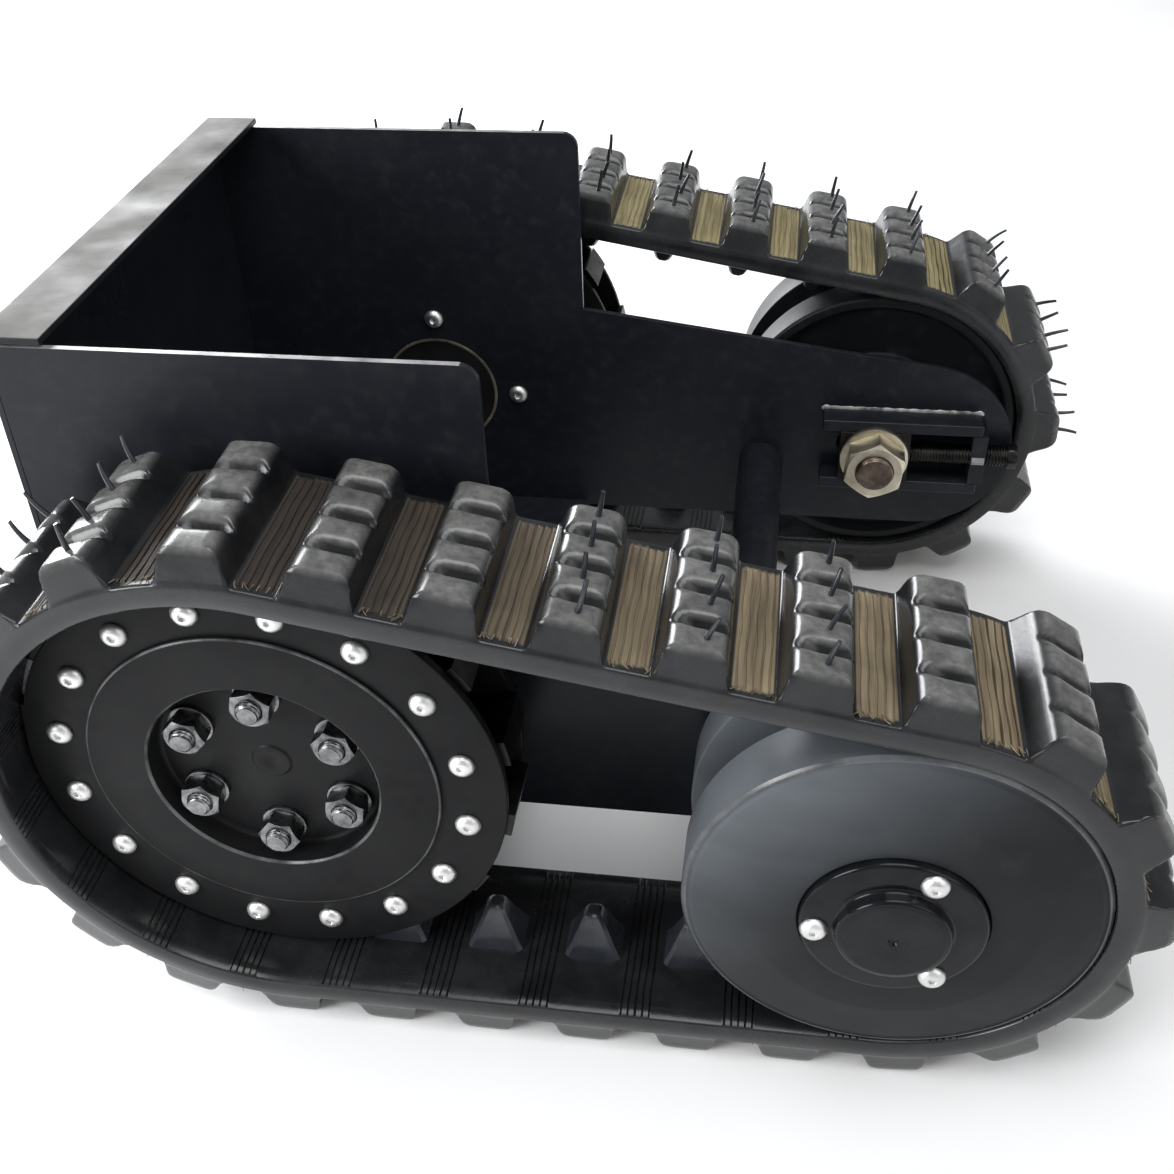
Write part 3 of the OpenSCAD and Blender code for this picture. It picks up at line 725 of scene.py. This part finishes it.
def along_belt(s):
    """For distances along the cord line: the band's inside point, the way along and the way outward."""
    s = np.asarray(s, float) % LOOP
    past = s - DRIVE_ARC - WHEELBASE
    on_drive = s < DRIVE_ARC
    on_bottom = ~on_drive & (past < 0)
    on_idler = ~on_drive & ~on_bottom & (past < IDLER_ARC)
    angle = np.full(s.shape, -TILT)
    angle[on_drive] = -TILT + s[on_drive] / DRIVE_CORD_R
    angle[on_bottom] = math.pi
    angle[on_idler] = math.pi + past[on_idler] / IDLER_CORD_R
    out = np.stack([-np.sin(angle), np.cos(angle)], -1)
    way = np.stack([np.cos(angle), np.sin(angle)], -1)
    centre = np.where(on_drive[:, None], DRIVE[None, :2], IDLER[None, :2])
    radius = np.where(on_drive, BELT_R1, BELT_R2)
    point = centre + out * radius[:, None]
    under = np.full(on_bottom.sum(), -BELT_R1)
    point[on_bottom] = DRIVE[:2] + np.stack([s[on_bottom] - DRIVE_ARC, under], -1)
    top = ~(on_drive | on_bottom | on_idler)
    point[top] += way[top] * (IDLER_ARC - past[top])[:, None]
    return point, way, out


def lug_station(i):
    return FIRST_LUG + i * PITCH


def smooth_min(a, b, k):
    """The lower of two heights, with the crease between them rounded over k."""
    h = np.clip(0.5 + 0.5 * (b - a) / k, 0, 1)
    return b + (a - b) * h - k * h * (1 - h)


def step(x, low, high):
    t = np.clip((x - low) / (high - low), 0, 1)
    return t * t * (3 - 2 * t)


# Fine grooves across the strips between lugs, deeper where the belt is bent
GROOVE_GAP = 2.9
GROOVE_HALF = 0.45
GROOVE_FLOOR = 0.45 * GROOVE_HALF
GROOVE_DEPTH = 0.5
GROOVE_OPENED = 3.4
INNER_GROOVE = 0.8

# Humps and pits across a lug's crest. A pit deepens over PIT_BACK and eases off over PIT_FRONT, along +X.
HUMP_CROWN = 1.6
PIT_HALF = 2.7
PIT_DEPTH = 5.8
SADDLE_DEPTH = 2.0
PIT_BACK = (-8, 0)
PIT_FRONT = (7, 11)
CREASE = 1.2


def lug_profile():
    """One pitch of the belt's outline, as (distance from the lug's middle, height, 1 in a groove)."""
    half = PITCH / 2
    corners = [(-half, BAND_T), (-LUG_FOOT / 2, BAND_T), (-LUG_CREST / 2, LUG_TOP),
               (LUG_CREST / 2, LUG_TOP), (LUG_FOOT / 2, BAND_T), (half, BAND_T)]
    line = rounded(corners, [0, 1.8, 6.5, 6.5, 1.8, 0], 5)
    rows = [(x, h, 0.0) for x, h in line if abs(x) < half - 0.01]
    flank = (LUG_FOOT + LUG_CREST) / 4
    rows += [(x, BAND_T + LUG_H / 2, 0.0) for x in (-flank, flank)]
    rows += [(x, LUG_TOP, 0.0) for x in (-4.5, -1.6, 1.6, 4.5)]
    for side in (-1, 1):
        for k in (1, 2):
            groove = side * (half - k * GROOVE_GAP)
            rows += [(groove + e, BAND_T, 0.0) for e in (-GROOVE_HALF, GROOVE_HALF)]
            rows += [(groove + e, BAND_T, 1.0) for e in (-GROOVE_FLOOR, GROOVE_FLOOR)]
        rows += [(side * (half - GROOVE_HALF), BAND_T, 0.0), (side * (half - GROOVE_FLOOR), BAND_T, 1.0)]
    return sorted(rows)


def outer_columns():
    """Places across the belt, close together at its ends and in the valleys between the humps."""
    ends = [0.35, 0.9, 1.5, 2.2, 3.0, 3.6, 4.2, 5.0, 6.2]
    beside = [1.2, 2.4, 3.4, 4.4, 5.6, 7.2]
    valleys = [k * HUMP_W + d for k in (1, 2, 3) for d in [0, *beside, *(-b for b in beside)]]
    humps = [(k + 0.5) * HUMP_W for k in range(HUMPS)]
    return np.array(sorted(ends + [TRACK_W - e for e in ends] + valleys + humps))


def crest_height(x, v):
    """How high the rubber may stand: sloping ends, crowned humps and the pits between them."""
    from_end = np.minimum(v, TRACK_W - v)
    ends = BAND_T + LUG_H * (from_end - 0.5) / LUG_END_SLOPE
    off_middle = np.min([abs(v - (k + 0.5) * HUMP_W) for k in range(HUMPS)], axis=0)
    off_pit = np.min([abs(v - k * HUMP_W) for k in range(1, HUMPS)], axis=0)
    crown = LUG_TOP + 0.3 - HUMP_CROWN * (2 * off_middle / HUMP_W) ** 2
    in_pit = step(x, *PIT_BACK) * (1 - 0.6 * step(x, *PIT_FRONT))
    depth = SADDLE_DEPTH + (PIT_DEPTH - SADDLE_DEPTH) * in_pit
    pits = depth[:, None] * np.exp(-(off_pit / PIT_HALF) ** 2)[None, :]
    return smooth_min(ends[None, :], crown[None, :] - pits, CREASE)


def outer_heights(x, height, v):
    """The outer skin's height for each row along a pitch and each column across the belt."""
    height = height[:, None]
    h = np.where(height <= BAND_T + 0.01, height, smooth_min(height, crest_height(x, v), CREASE))
    edge = np.where(np.minimum(v, TRACK_W - v) < 0.5, 0.35, 0.0)
    return np.maximum(h, BAND_T) - edge[None, :]


def inner_columns():
    """The rest of the band's section: place across, height, and 1 where the inside is grooved."""
    edge, corner = 0.9, 0.8
    section = [(0, BAND_T - edge, 0), (0, edge, 0), (corner, 0, 0)]
    section += [(v, 0, 1) for v in (7, 14, 0.38 * TRACK_W)]
    far = [(TRACK_W - v, h, groove) for v, h, groove in section]
    return np.array(far + section[::-1], float).T


def belt_shell():
    """The band with its outer lugs, as one closed skin, and its paint weights."""
    x, height, groove = np.array(lug_profile()).T
    v = outer_columns()
    inner_v, inner_h, inner_groove = inner_columns()
    from_end = np.minimum(v, TRACK_W - v)
    in_strip = step(from_end, 3.4, 4.4)
    h_out = outer_heights(x, height, v)
    h_in = inner_h + INNER_GROOVE * groove[:, None] * inner_groove
    all_v = np.concatenate([v, inner_v])
    on_floor = (height <= BAND_T + 0.01)[:, None] * 1.0
    pad = np.zeros((len(x), len(inner_v)))
    rings, clay, rubbed = [], [], []
    for i in range(LUG_COUNT):
        station = lug_station(i)
        p0, way, out = along_belt([station])
        opened = GROOVE_OPENED if abs(out[0][1]) < 0.97 else 1.0
        frayed = step(from_end[None, :] + 0.7 * np.sin(x * 2.3 + i)[:, None], 3.2, 4.2)
        cut = opened * GROOVE_DEPTH * groove[:, None] * in_strip[None, :]
        wobble = 0.22 * np.sin(all_v[None, :] * 0.21 + i * 1.7) * step(abs(x), 14.6, 16)[:, None]
        along = x[::-1, None] + wobble[::-1]
        h = np.hstack([h_out - cut, h_in])[::-1]
        bent_p, _, bent_n = along_belt((station - along).ravel())
        bent = bent_p + bent_n * h.ravel()[:, None]
        rigid = p0 + way * along.ravel()[:, None] + out * h.ravel()[:, None]
        stiff = step(h.ravel(), BAND_T + 0.2, BAND_T + 5)[:, None]
        xy = bent * (1 - stiff) + rigid * stiff
        z = np.broadcast_to(all_v[None, :], h.shape).ravel() + BELT_LOW[2]
        rings += list(np.column_stack([xy, z]).reshape(len(x), len(all_v), 3))
        # Painted shade: the clay weight is thinned in the groove floors, more where the belt is bent, so the
        # grooves read darker
        painted_groove_shade = 1 - 0.16 * opened * groove[:, None]
        clay.append(np.hstack([(on_floor * frayed * painted_groove_shade)[::-1], pad]))
        rubbed.append(np.hstack([step(h[:, :len(v)], LUG_TOP - 3.0, LUG_TOP - 0.6), pad]))
    shape = bridge(rings, closed_along=True)
    return shape, np.vstack(clay).ravel(), np.vstack(rubbed).ravel()


def guide_lug():
    """A blunt pyramid with bevelled edges. X along the belt, Y towards the middle of the loop, Z across."""
    fillet, fillet_share = 1.2, 0.12

    def ring(y, foot, width, cut):
        a, b = foot / 2, width / 2
        return [(a, y, b - cut), (a - cut, y, b), (-a + cut, y, b), (-a, y, b - cut),
                (-a, y, -b + cut), (-a + cut, y, -b), (a - cut, y, -b), (a, y, -b + cut)]
    rings = []
    for t, cut in ((-0.06, 1.6), (0.0, 1.6), (0.3, 1.5), (0.62, 1.4), (0.9, 1.4)):
        share = max(t, 0)
        spread = -fillet * step(t, 0, fillet_share)
        foot = GUIDE_FOOT + (GUIDE_CREST - GUIDE_FOOT) * share
        width = GUIDE_W + (GUIDE_CREST_W - GUIDE_W) * share
        rings.append(ring(t * GUIDE_H, foot + spread, width + spread, cut))
    rings.append(ring(0.97 * GUIDE_H, GUIDE_CREST - 1.6, GUIDE_CREST_W - 1.6, 1.5))
    rings.append(ring(GUIDE_H, GUIDE_CREST - 4, GUIDE_CREST_W - 4, 0.9))
    return bridge(rings, capped=True)


def on_belt(shape, station, inward=False):
    """A shape set rigidly on the belt: its X along, its Y outward (or inward) and its Z across."""
    p, way, out = along_belt([station])
    up = -out[0] if inward else out[0]
    matrix = Matrix(((way[0][0], up[0], 0, p[0][0]), (way[0][1], up[1], 0, p[0][1]),
                     (0, 0, 1, BELT_LOW[2] + TRACK_W / 2), (0, 0, 0, 1)))
    return shape.placed(matrix)


def vent_whisker(rng):
    """A thin hair of rubber left by a mould vent, leaning and curling a little."""
    length = rng.uniform(10.0, 13.0)
    lean, curl = rng.uniform(-0.05, 0.25), rng.uniform(-0.07, 0.07)
    side_lean = rng.uniform(-0.25, 0.1)
    rooted = 0.6
    rings = []
    for k in range(7):
        t = k / 6
        x = length * (lean * t + curl * t * t)
        z = length * side_lean * t * t
        rings.append([(x + u, length * t - rooted, z + w) for u, w, _ in circle(1.15 - 0.35 * t, 8)])
    return bridge(rings, capped=True)


def strip_thread(rng):
    """A frayed fibre at a strip's outer end, lying on the band."""
    length = rng.uniform(2.5, 5.0)
    start, turn, lift = rng.uniform(-8.5, 8.5), rng.uniform(-0.6, 0.6), rng.uniform(0.05, 0.4)
    rings = []
    for k in range(5):
        t = k / 4
        x = start + length * turn * t * t
        y = BAND_T + 0.1 + length * lift * t
        z = TRACK_W / 2 - 5.5 + length * t
        rings.append([(x + u, y + w, z) for u, w, _ in circle(0.24 - 0.1 * t, 6)])
    return bridge(rings, capped=True)


# Lugs of the right track whose vents have been trimmed, by number from the top of the drive wheel
TRIMMED = {"right": (0, *range(13, 21), 24, 25), "left": ()}
SEEDS = {"right": 7, "left": 11}
THREADS_A_GAP = 9


def has_whiskers(side, i):
    """Vents are left on most lugs, but those near the ground are worn off."""
    _, _, out = along_belt([lug_station(i)])
    return i not in TRIMMED[side] and out[0][1] > -0.25


def lug_whiskers(side, rng):
    """A vent on each hump of the lugs that still have them."""
    hairs = []
    for i in range(LUG_COUNT):
        if not has_whiskers(side, i):
            continue
        for k in range(HUMPS):
            across = (k - (HUMPS - 1) / 2) * HUMP_W
            hair = vent_whisker(rng).moved(x=rng.uniform(0.5, 3.0), y=LUG_TOP, z=across)
            hairs.append(on_belt(hair, lug_station(i)))
    return joined(hairs)


def strip_threads(rng):
    gaps = [lug_station(i) + PITCH / 2 for i in range(LUG_COUNT) for _ in range(THREADS_A_GAP)]
    return joined([on_belt(strip_thread(rng), gap) for gap in gaps])


def make_track(side):
    """A belt with its guide lugs, vents and fibres."""
    shape, clay, rubbed = belt_shell()
    band = make("belt", shape, side, None, [TREAD], "track_belt", 50)
    for name, weights in (("clay", clay), ("rubbed", rubbed)):
        layer = band.data.attributes.new(name, "FLOAT", "POINT")
        layer.data.foreach_set("value", weights.astype(np.float32))
    guides = joined([on_belt(guide_lug(), lug_station(i), inward=True) for i in range(LUG_COUNT)])
    teeth = make("guide_lugs", guides, side, None, [RUBBER], None, 25)
    rng = random.Random(SEEDS[side])
    whiskers = make("vent_whiskers", lug_whiskers(side, rng), side, None, [RUBBER], None, 60)
    threads = make("strip_threads", strip_threads(rng), side, None, [FIBRE], None, 60)
    for o in (band, teeth, whiskers, threads):
        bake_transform(o)


# ---------- Drive wheel ----------

def at_drive(shape, out=0.0):
    return shape.moved(DRIVE[0], DRIVE[1], out)


def at_idler(shape, out=0.0):
    return shape.moved(IDLER[0], IDLER[1], out)


def marked(shape, where):
    """The shape with its second material on the faces whose middle's radius and height meet a test."""
    kinds = []
    for f in shape.faces:
        x, y, z = shape.verts[list(f)].mean(axis=0)
        kinds.append(int(where(math.hypot(x, y), z)))
    return Shape(shape.verts, shape.faces, kinds)


def rim_disc(bore, low, high):
    outline = [(bore, low), (DISC_R, low), (DISC_R, high), (bore, high)]
    return lathe(rounded(outline, [0.3, 0.6, 0.6, 0.3]), 160)


def hub_cup():
    """Flange on the disc, a deep recess with a rounded floor and a small boss, rubbed along its edges."""
    low, flange = HUB_LOW[2], HUB_HIGH[2]
    wall = flange - 2
    boss = HUB_FLOOR + 0.8
    chamfer = 0.9
    outline = [
        (0, low), (HUB_BORE_R, low), (HUB_BORE_R, wall), (HUB_R, wall), (HUB_R, flange),
        (RECESS_R + chamfer, flange), (RECESS_R, flange - chamfer), (RECESS_R, HUB_FLOOR),
        (8.5, HUB_FLOOR), (7.5, boss), (2, boss), (0, HUB_FLOOR - 0.4),
    ]
    radii = [0, 0.4, 0.3, 0.3, 0.9, 0.5, 0.5, 2.2, 0.4, 0.4, 0, 0]
    cup = lathe(rounded(outline, radii, 4), 160)
    return marked(cup, lambda r, z: z > flange - 1.1 and (r < RECESS_R + 1.0 or r > HUB_R - 0.9))


def stud_and_nut():
    """One hub stud with its washer and nut, standing on the recess's floor."""
    gap = 0.02
    stud = threaded_rod(STUD_R, 1.5, DISC_FACE + 3 - HUB_FLOOR, tip=1.0, depth=0.55)
    seat = washer(HUB_WASHER_R, STUD_R + 0.2, HUB_WASHER_T).moved(z=gap)
    nut = hex_nut(HUB_NUT_CORNER, STUD_R - 0.1, 8).moved(z=HUB_WASHER_T + gap)
    return joined([seat, nut, stud])


def hub_nuts():
    """Six studs and nuts, each nut turned its own way."""
    nuts = [stud_and_nut().turned(17 + 31 * i).moved(x=STUD_CIRCLE_R).turned(30 + 60 * i) for i in range(6)]
    return at_drive(joined(nuts), HUB_FLOOR)


def rim_screws():
    heads = ring_of(button_head(), BAR_COUNT, RIM_SCREW_R, RIM_PHASE)
    back = ring_of(facing_in(button_head()), BAR_COUNT, RIM_SCREW_R, RIM_PHASE)
    return joined([at_drive(heads, DISC_FACE), at_drive(back, INNER_DISC[0][2])])


def make_drive_wheel(side):
    body = side + "_drive_wheel"
    outer = rim_disc(HUB_BORE_R, DISC_FACE - DISC_T, DISC_FACE)
    make("wheel_disc", at_drive(outer), side, body, [SATIN], "outer_disc")
    inner = rim_disc(INNER_DISC_BORE, INNER_DISC[0][2], INNER_DISC[1][2])
    make("wheel_back", at_drive(inner), side, body, [SATIN], "inner_disc")
    make("hub_cup", at_drive(hub_cup()), side, body, [SATIN, WORN], "drive_hub")
    softened(side + "_drive_bars", body, BLACK_OXIDE, 0.7, side + "_cross_bars")
    make("rim_screws", rim_screws(), side, body, [ZINC], "disc_screws")
    make("hub_nuts", hub_nuts(), side, body, [DARK_STEEL], "hub_fasteners", 30)
    dress(DARK_STEEL, side + "_planet_carrier", side + "_motor_rotor")
    dress(BRIGHT_STEEL, *[f"{side}_planet_gear_{i}" for i in (1, 2, 3)])


# ---------- Idler ----------

def idler_outer():
    """Outer half: a rounded rim with a painted highlight band, then a gently domed face up to the bearing
    cap's pocket.
    """
    low, face = IDLER_OUT[0][2], IDLER_OUT[1][2]
    seat = IDLER_CAP[0][2]
    rim = face - DOME_H
    outline = [
        (IDLER_BORE, low), (IDLER_R, low), (IDLER_R, rim - 1.4), (IDLER_R - 1.6, rim + 0.1),
        (IDLER_R - 3.0, rim - 0.25), (IDLER_R - 4.4, rim + 0.55), (IDLER_R - 12.7, rim + 0.4 * DOME_H),
        (IDLER_R - 25.7, rim + 0.78 * DOME_H), (POCKET_R + 0.6, face), (POCKET_R, face - 0.6),
        (POCKET_R, seat), (IDLER_BORE, seat),
    ]
    radii = [0.3, 0.8, 1.0, 0.9, 1.2, 1.2, 25, 25, 0.5, 0.4, 0.2, 0.2]
    half = lathe(rounded(outline, radii, 4), 192)
    # The rim's rounded corner takes the paler second material: a painted highlight all round the rim
    return marked(half, lambda r, z: r > IDLER_R - 2.3 and z > rim - 1.5)


def idler_inner():
    """Inner half: a rim with a dished web."""
    low, high = IDLER_IN[0][2], IDLER_IN[1][2]
    outline = [
        (IDLER_BORE, high), (IDLER_R, high), (IDLER_R, low + 1.2), (IDLER_R - 1.3, low), (IDLER_R - 5.5, low),
        (70, low + 6), (42, low + 8), (39, low), (IDLER_BORE, low),
    ]
    return lathe(rounded(outline, [0.3, 0.8, 1.0, 1.0, 1.0, 2.5, 2.0, 0.6, 0.2], 4), 192)


def idler_spool():
    """The hub between the halves, with a seat for a bearing at each end."""
    low, high = IDLER_HUB[0][2], IDLER_HUB[1][2]
    groove_in, groove_out = IDLER_IN[1][2], IDLER_OUT[0][2]
    seat = [(20, BEARING_T), (BEARING_R, BEARING_T), (BEARING_R, 0), (IDLER_BORE, 0)]
    outline = [(r, low + z) for r, z in seat]
    outline += [(IDLER_BORE, groove_in), (IDLER_GROOVE_R, groove_in)]
    outline += [(IDLER_GROOVE_R, groove_out), (IDLER_BORE, groove_out)]
    outline += [(r, high - z) for r, z in seat[::-1]]
    return lathe(rounded(outline, 0.3, 2), 128)


def idler_cap():
    """Bearing cap with a flange, a filleted boss and a small centre-drill mark."""
    seat, top = IDLER_CAP[0][2], IDLER_CAP[1][2]
    face = top - CAP_BOSS_H
    outline = [
        (0, top - 4), (17, top - 4), (17, seat), (CAP_R, seat), (CAP_R, face), (21.6, face), (21, top - 0.6),
        (18.4, top), (2.2, top), (1.4, top - 0.9), (0, top - 1.3),
    ]
    return lathe(rounded(outline, [0, 0.5, 0.3, 0.4, 1.8, 1.6, 2.0, 1.4, 0.3, 0.3, 0], 5), 128)


def cap_heads():
    return ring_of(button_head(), 3, CAP_SCREW_R, CAP_PHASE).moved(z=IDLER_CAP[1][2] - CAP_BOSS_H)


def make_idler(side):
    body = side + "_idler"
    nylon = (
        ("idler_face", idler_outer(), [NYLON, RIM_HIGHLIGHT_NYLON], "idler_outer_half"),
        ("idler_back", idler_inner(), [NYLON], "idler_inner_half"),
        ("idler_spool", idler_spool(), [NYLON], "idler_hub"),
        ("bearing_cap", idler_cap(), [CAP_PLASTIC], "idler_cap"),
    )
    for piece, shape, materials, node in nylon:
        make(piece, at_idler(shape), side, body, materials, node)
    make("cap_heads", at_idler(cap_heads()), side, body, [ZINC], "cap_screws")
    dress(BRIGHT_STEEL, side + "_idler_bearings")


# ---------- Tensioner ----------

def axle_bar():
    """Idler axle: a threaded end inside the frame, a plain shank with its collar, and a narrower nose."""
    low, high = AXLE[0][2], AXLE[1][2]
    thread_end = NUTS[0][2] + AXLE_NUT_T + 1
    thread = threaded_rod(AXLE_R, 1.5, thread_end - low, tip=1.6, depth=0.5, count=36)
    thread = facing_in(thread).moved(z=thread_end)
    shank_low = thread_end - 0.5
    collar_low, collar_high = PLATE[1][2] + 0.3, IDLER_IN[0][2] - 0.3
    nose_low = high - 7.5
    outline = [
        (0, shank_low), (AXLE_R - 0.05, shank_low), (AXLE_R, collar_low), (COLLAR_R, collar_low),
        (COLLAR_R, collar_high), (AXLE_R, collar_high), (AXLE_R, nose_low), (NOSE_R, nose_low),
        (NOSE_R, high - 0.8), (NOSE_R - 0.8, high), (0, high),
    ]
    shank = lathe(rounded(outline, [0, 0.1, 0.3, 0.5, 0.5, 0.3, 0.3, 0.3, 0.3, 0.3, 0], 2), 64)
    return joined([thread, shank])


def axle_nuts():
    """The M20 nut and washer inside the frame, and the lock nut under the bearing cap."""
    low = NUTS[0][2]
    nut = hex_nut(17.3, AXLE_R - 0.1, AXLE_NUT_T, 72).turned(24).moved(z=low)
    seat = washer(18.5, AXLE_R + 0.2, 3).moved(z=low + AXLE_NUT_T)
    lock_nut = hex_nut(13.9, NOSE_R - 0.1, 6).moved(z=IDLER_CAP[0][2] + 0.5)
    return joined([nut, seat, lock_nut])


def adjusting_screw():
    """M12 screw along the arm with a hexagonal end."""
    length = SCREW[1][0] - SCREW[0][0]
    head_r = 6.9
    rod = threaded_rod(6, 1.75, length - 4.5, tip=0, depth=0.75, count=28)
    head = bridge([
        hexagon(head_r, 36, length - 5, 0.5), hexagon(head_r, 36, length - 4.7),
        hexagon(head_r, 36, length - 0.6), hexagon(head_r, 36, length, 0.8),
    ], capped=True)
    centre = middle("right_tension_screw")
    return joined([rod, head]).turned(90, "Y").moved(SCREW[0][0], centre[1], centre[2])


def make_tensioner(side):
    body = side + "_tensioner"
    make("axle", at_idler(axle_bar()), side, body, [BROWN_STEEL], "idler_axle")
    make("nuts", at_idler(axle_nuts()), side, body, [YELLOW_ZINC], "axle_nuts", 30)
    softened(side + "_tension_block", body, BLACK_OXIDE, 0.8, side + "_slide_block")
    body = side + "_adjuster"
    make("adjuster", adjusting_screw(), side, body, [BLACK_OXIDE], "tension_screw", 40)


# ---------- Frame ----------

def weld_bead(start, end, radius, seed):
    """A painted weld along a level edge: a low rippled bead with rounded ends."""
    a, b = np.array(start, float), np.array(end, float)
    length = np.linalg.norm(b - a)
    ring_gap = 0.9
    steps = int(length / ring_gap)
    rng = random.Random(seed)
    u = (b - a) / length
    w = np.cross(u, (0, 0, 1.0))
    t = np.cross(u, w)
    rings = []
    for i in range(steps + 1):
        s = i / steps
        taper = math.sqrt(max(0.02, 1 - (2 * abs(s - 0.5)) ** 14))
        blob = 0.45 * math.exp(-((min(s, 1 - s) - 0.03) / 0.03) ** 2)
        r = radius * taper * (1 + blob + 0.05 * math.sin(i * 0.8) + rng.uniform(-0.03, 0.03))
        c = a + u * length * s
        rings.append([c + r * (math.cos(k) * w + math.sin(k) * t) for k in np.arange(10) * math.pi / 5])
    return bridge(rings, capped=True)


def rail_weld():
    """The weld along the upper guide rail."""
    low, high = local_box("tension_rails")
    top, out = high[1] + 0.1, low[2] + 1.4
    past = 2
    return weld_bead((low[0] - past, top, out), (high[0] + past, top, out), 2.1, 5)


def spigot_seam():
    """Sealer round the motor's spigot, on the plate's inner face."""
    inside, outside = SPIGOT_R - 0.8, SPIGOT_R + 0.8
    outline = [(inside, -0.5), (outside, -0.5), (outside, 0.3), (inside, 0.3)]
    return at_drive(lathe(rounded(outline, 0.25, 2), 96), PLATE[0][2])


def anchor_nut():
    """The nut that holds the adjusting screw against its anchor."""
    anchor = middle("tension_anchors")
    nut = hex_nut(8.3, 6.1, 7).turned(90, "Y")
    return nut.moved(anchor[0] - 3.5, anchor[1], middle("right_tension_screw")[2])


def motor_heads():
    return at_drive(ring_of(facing_in(button_head()), 4, MOTOR_SCREW_R), PLATE[0][2])


def make_side_parts(side):
    """What is fixed to one side plate. The right side's motor screws stand for both sides' CAD node."""
    softened(side + "_side_plate", "chassis", PAINT, 0.45, side + "_plate", top=EDGE)
    softened(side + "_motor_housing", "chassis", CASE, 0.8, side + "_motor_case")
    softened(side + "_gear_cover", "chassis", CASE, 0.8, side + "_cover")
    make("spigot_seam", spigot_seam(), side, "chassis", [SEAM])
    # The weld bead's pale grey is a painted highlight along the rail's top edge
    make("rail_weld", rail_weld(), side, "chassis", [WELD_HIGHLIGHT], None, 60)
    make("anchor_nut", anchor_nut(), side, "chassis", [EDGE], None, 30)
    bolts = make("motor_bolts", motor_heads(), side, "chassis", [ZINC])
    if side == "right":
        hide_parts("motor_screws")


def make_shared_parts():
    softened("end_panel", "chassis", PAINT, 0.5, "end_panel_sheet", top=FLANGE)
    plain = (("floor_plate", 0.4, "floor_sheet"), ("cross_tube", 0.4, "arm_tube"),
             ("tension_rails", 0.9, "slide_rails"), ("tension_anchors", 0.6, "screw_anchors"))
    for node, width, name in plain:
        softened(node, "chassis", PAINT, width, name)
    dress(BRIGHT_STEEL, "ring_gears", "motor_bearings")
    dress(COPPER, "motor_stators")


# ---------- Stage ----------

def make_stage():
    """A round floor at the part's lowest point."""
    mesh = bpy.data.meshes.new("floor")
    bm = bmesh.new()
    bmesh.ops.create_circle(bm, cap_ends=True, segments=96, radius=9.0)
    bm.to_mesh(mesh)
    bm.free()
    mesh.materials.append(floor_finish())
    floor = added("floor", mesh)
    floor.location.z = cad_box[0].z


def make_light(name, place, aim, size, power, colour):
    """A soft round light, in metres and watts, that the camera doesn't see."""
    data = bpy.data.lights.new(name, "AREA")
    data.shape = "DISK"
    data.size = size
    data.energy = power
    data.color = colour
    o = added(name, data)
    o.location = place
    o.rotation_mode = "QUATERNION"
    o.rotation_quaternion = (Vector(aim) - Vector(place)).to_track_quat("-Z", "Y")
    o.visible_camera = False


def make_lights():
    centre = (cad_box[0] + cad_box[1]) / 2
    make_light("window", (-1.5, 1.6, 0.75), centre, 1.4, 95, (0.96, 0.98, 1.0))
    make_light("key", (-1.3, -1.2, 0.9), centre, 0.9, 28, (0.98, 0.99, 1.0))
    make_light("fill", (1.5, -1.1, 1.1), centre, 1.4, 7, (1.0, 0.99, 0.98))
    make_light("top", (0.2, -0.5, 2.0), centre, 1.4, 22, (1.0, 1.0, 1.0))
    world = bpy.data.worlds.new("room")
    world.use_nodes = True
    back = world.node_tree.nodes["Background"]
    back.inputs["Color"].default_value = (0.95, 0.97, 1.0, 1.0)
    back.inputs["Strength"].default_value = 0.36
    bpy.context.scene.world = world
    bpy.context.scene.view_settings.view_transform = "Standard"


def make_camera():
    """The photograph's viewing angle: from the right, above, looking down and slightly back."""
    yaw, pitch, roll = math.radians(9.40), math.radians(-36.93), math.radians(2.16)
    turn = Matrix.Rotation(yaw, 4, "Z") @ Matrix.Rotation(pitch, 4, "X") @ Matrix.Rotation(roll, 4, "Y")
    level = Matrix.Rotation(math.pi / 2, 4, "X")
    place = (0.0821, -0.5652, 0.5132)
    data = bpy.data.cameras.new("camera")
    data.lens = 42.73
    data.sensor_width = 36
    data.clip_start = 0.01
    cam = added("camera", data)
    cam.matrix_world = Matrix.Translation(place) @ turn @ level
    bpy.context.scene.camera = cam


make_camera()
make_stage()
make_lights()
for name in SIDES:
    make_side_parts(name)
make_shared_parts()
for name in SIDES:
    make_track(name)
    make_drive_wheel(name)
    make_idler(name)
    make_tensioner(name)
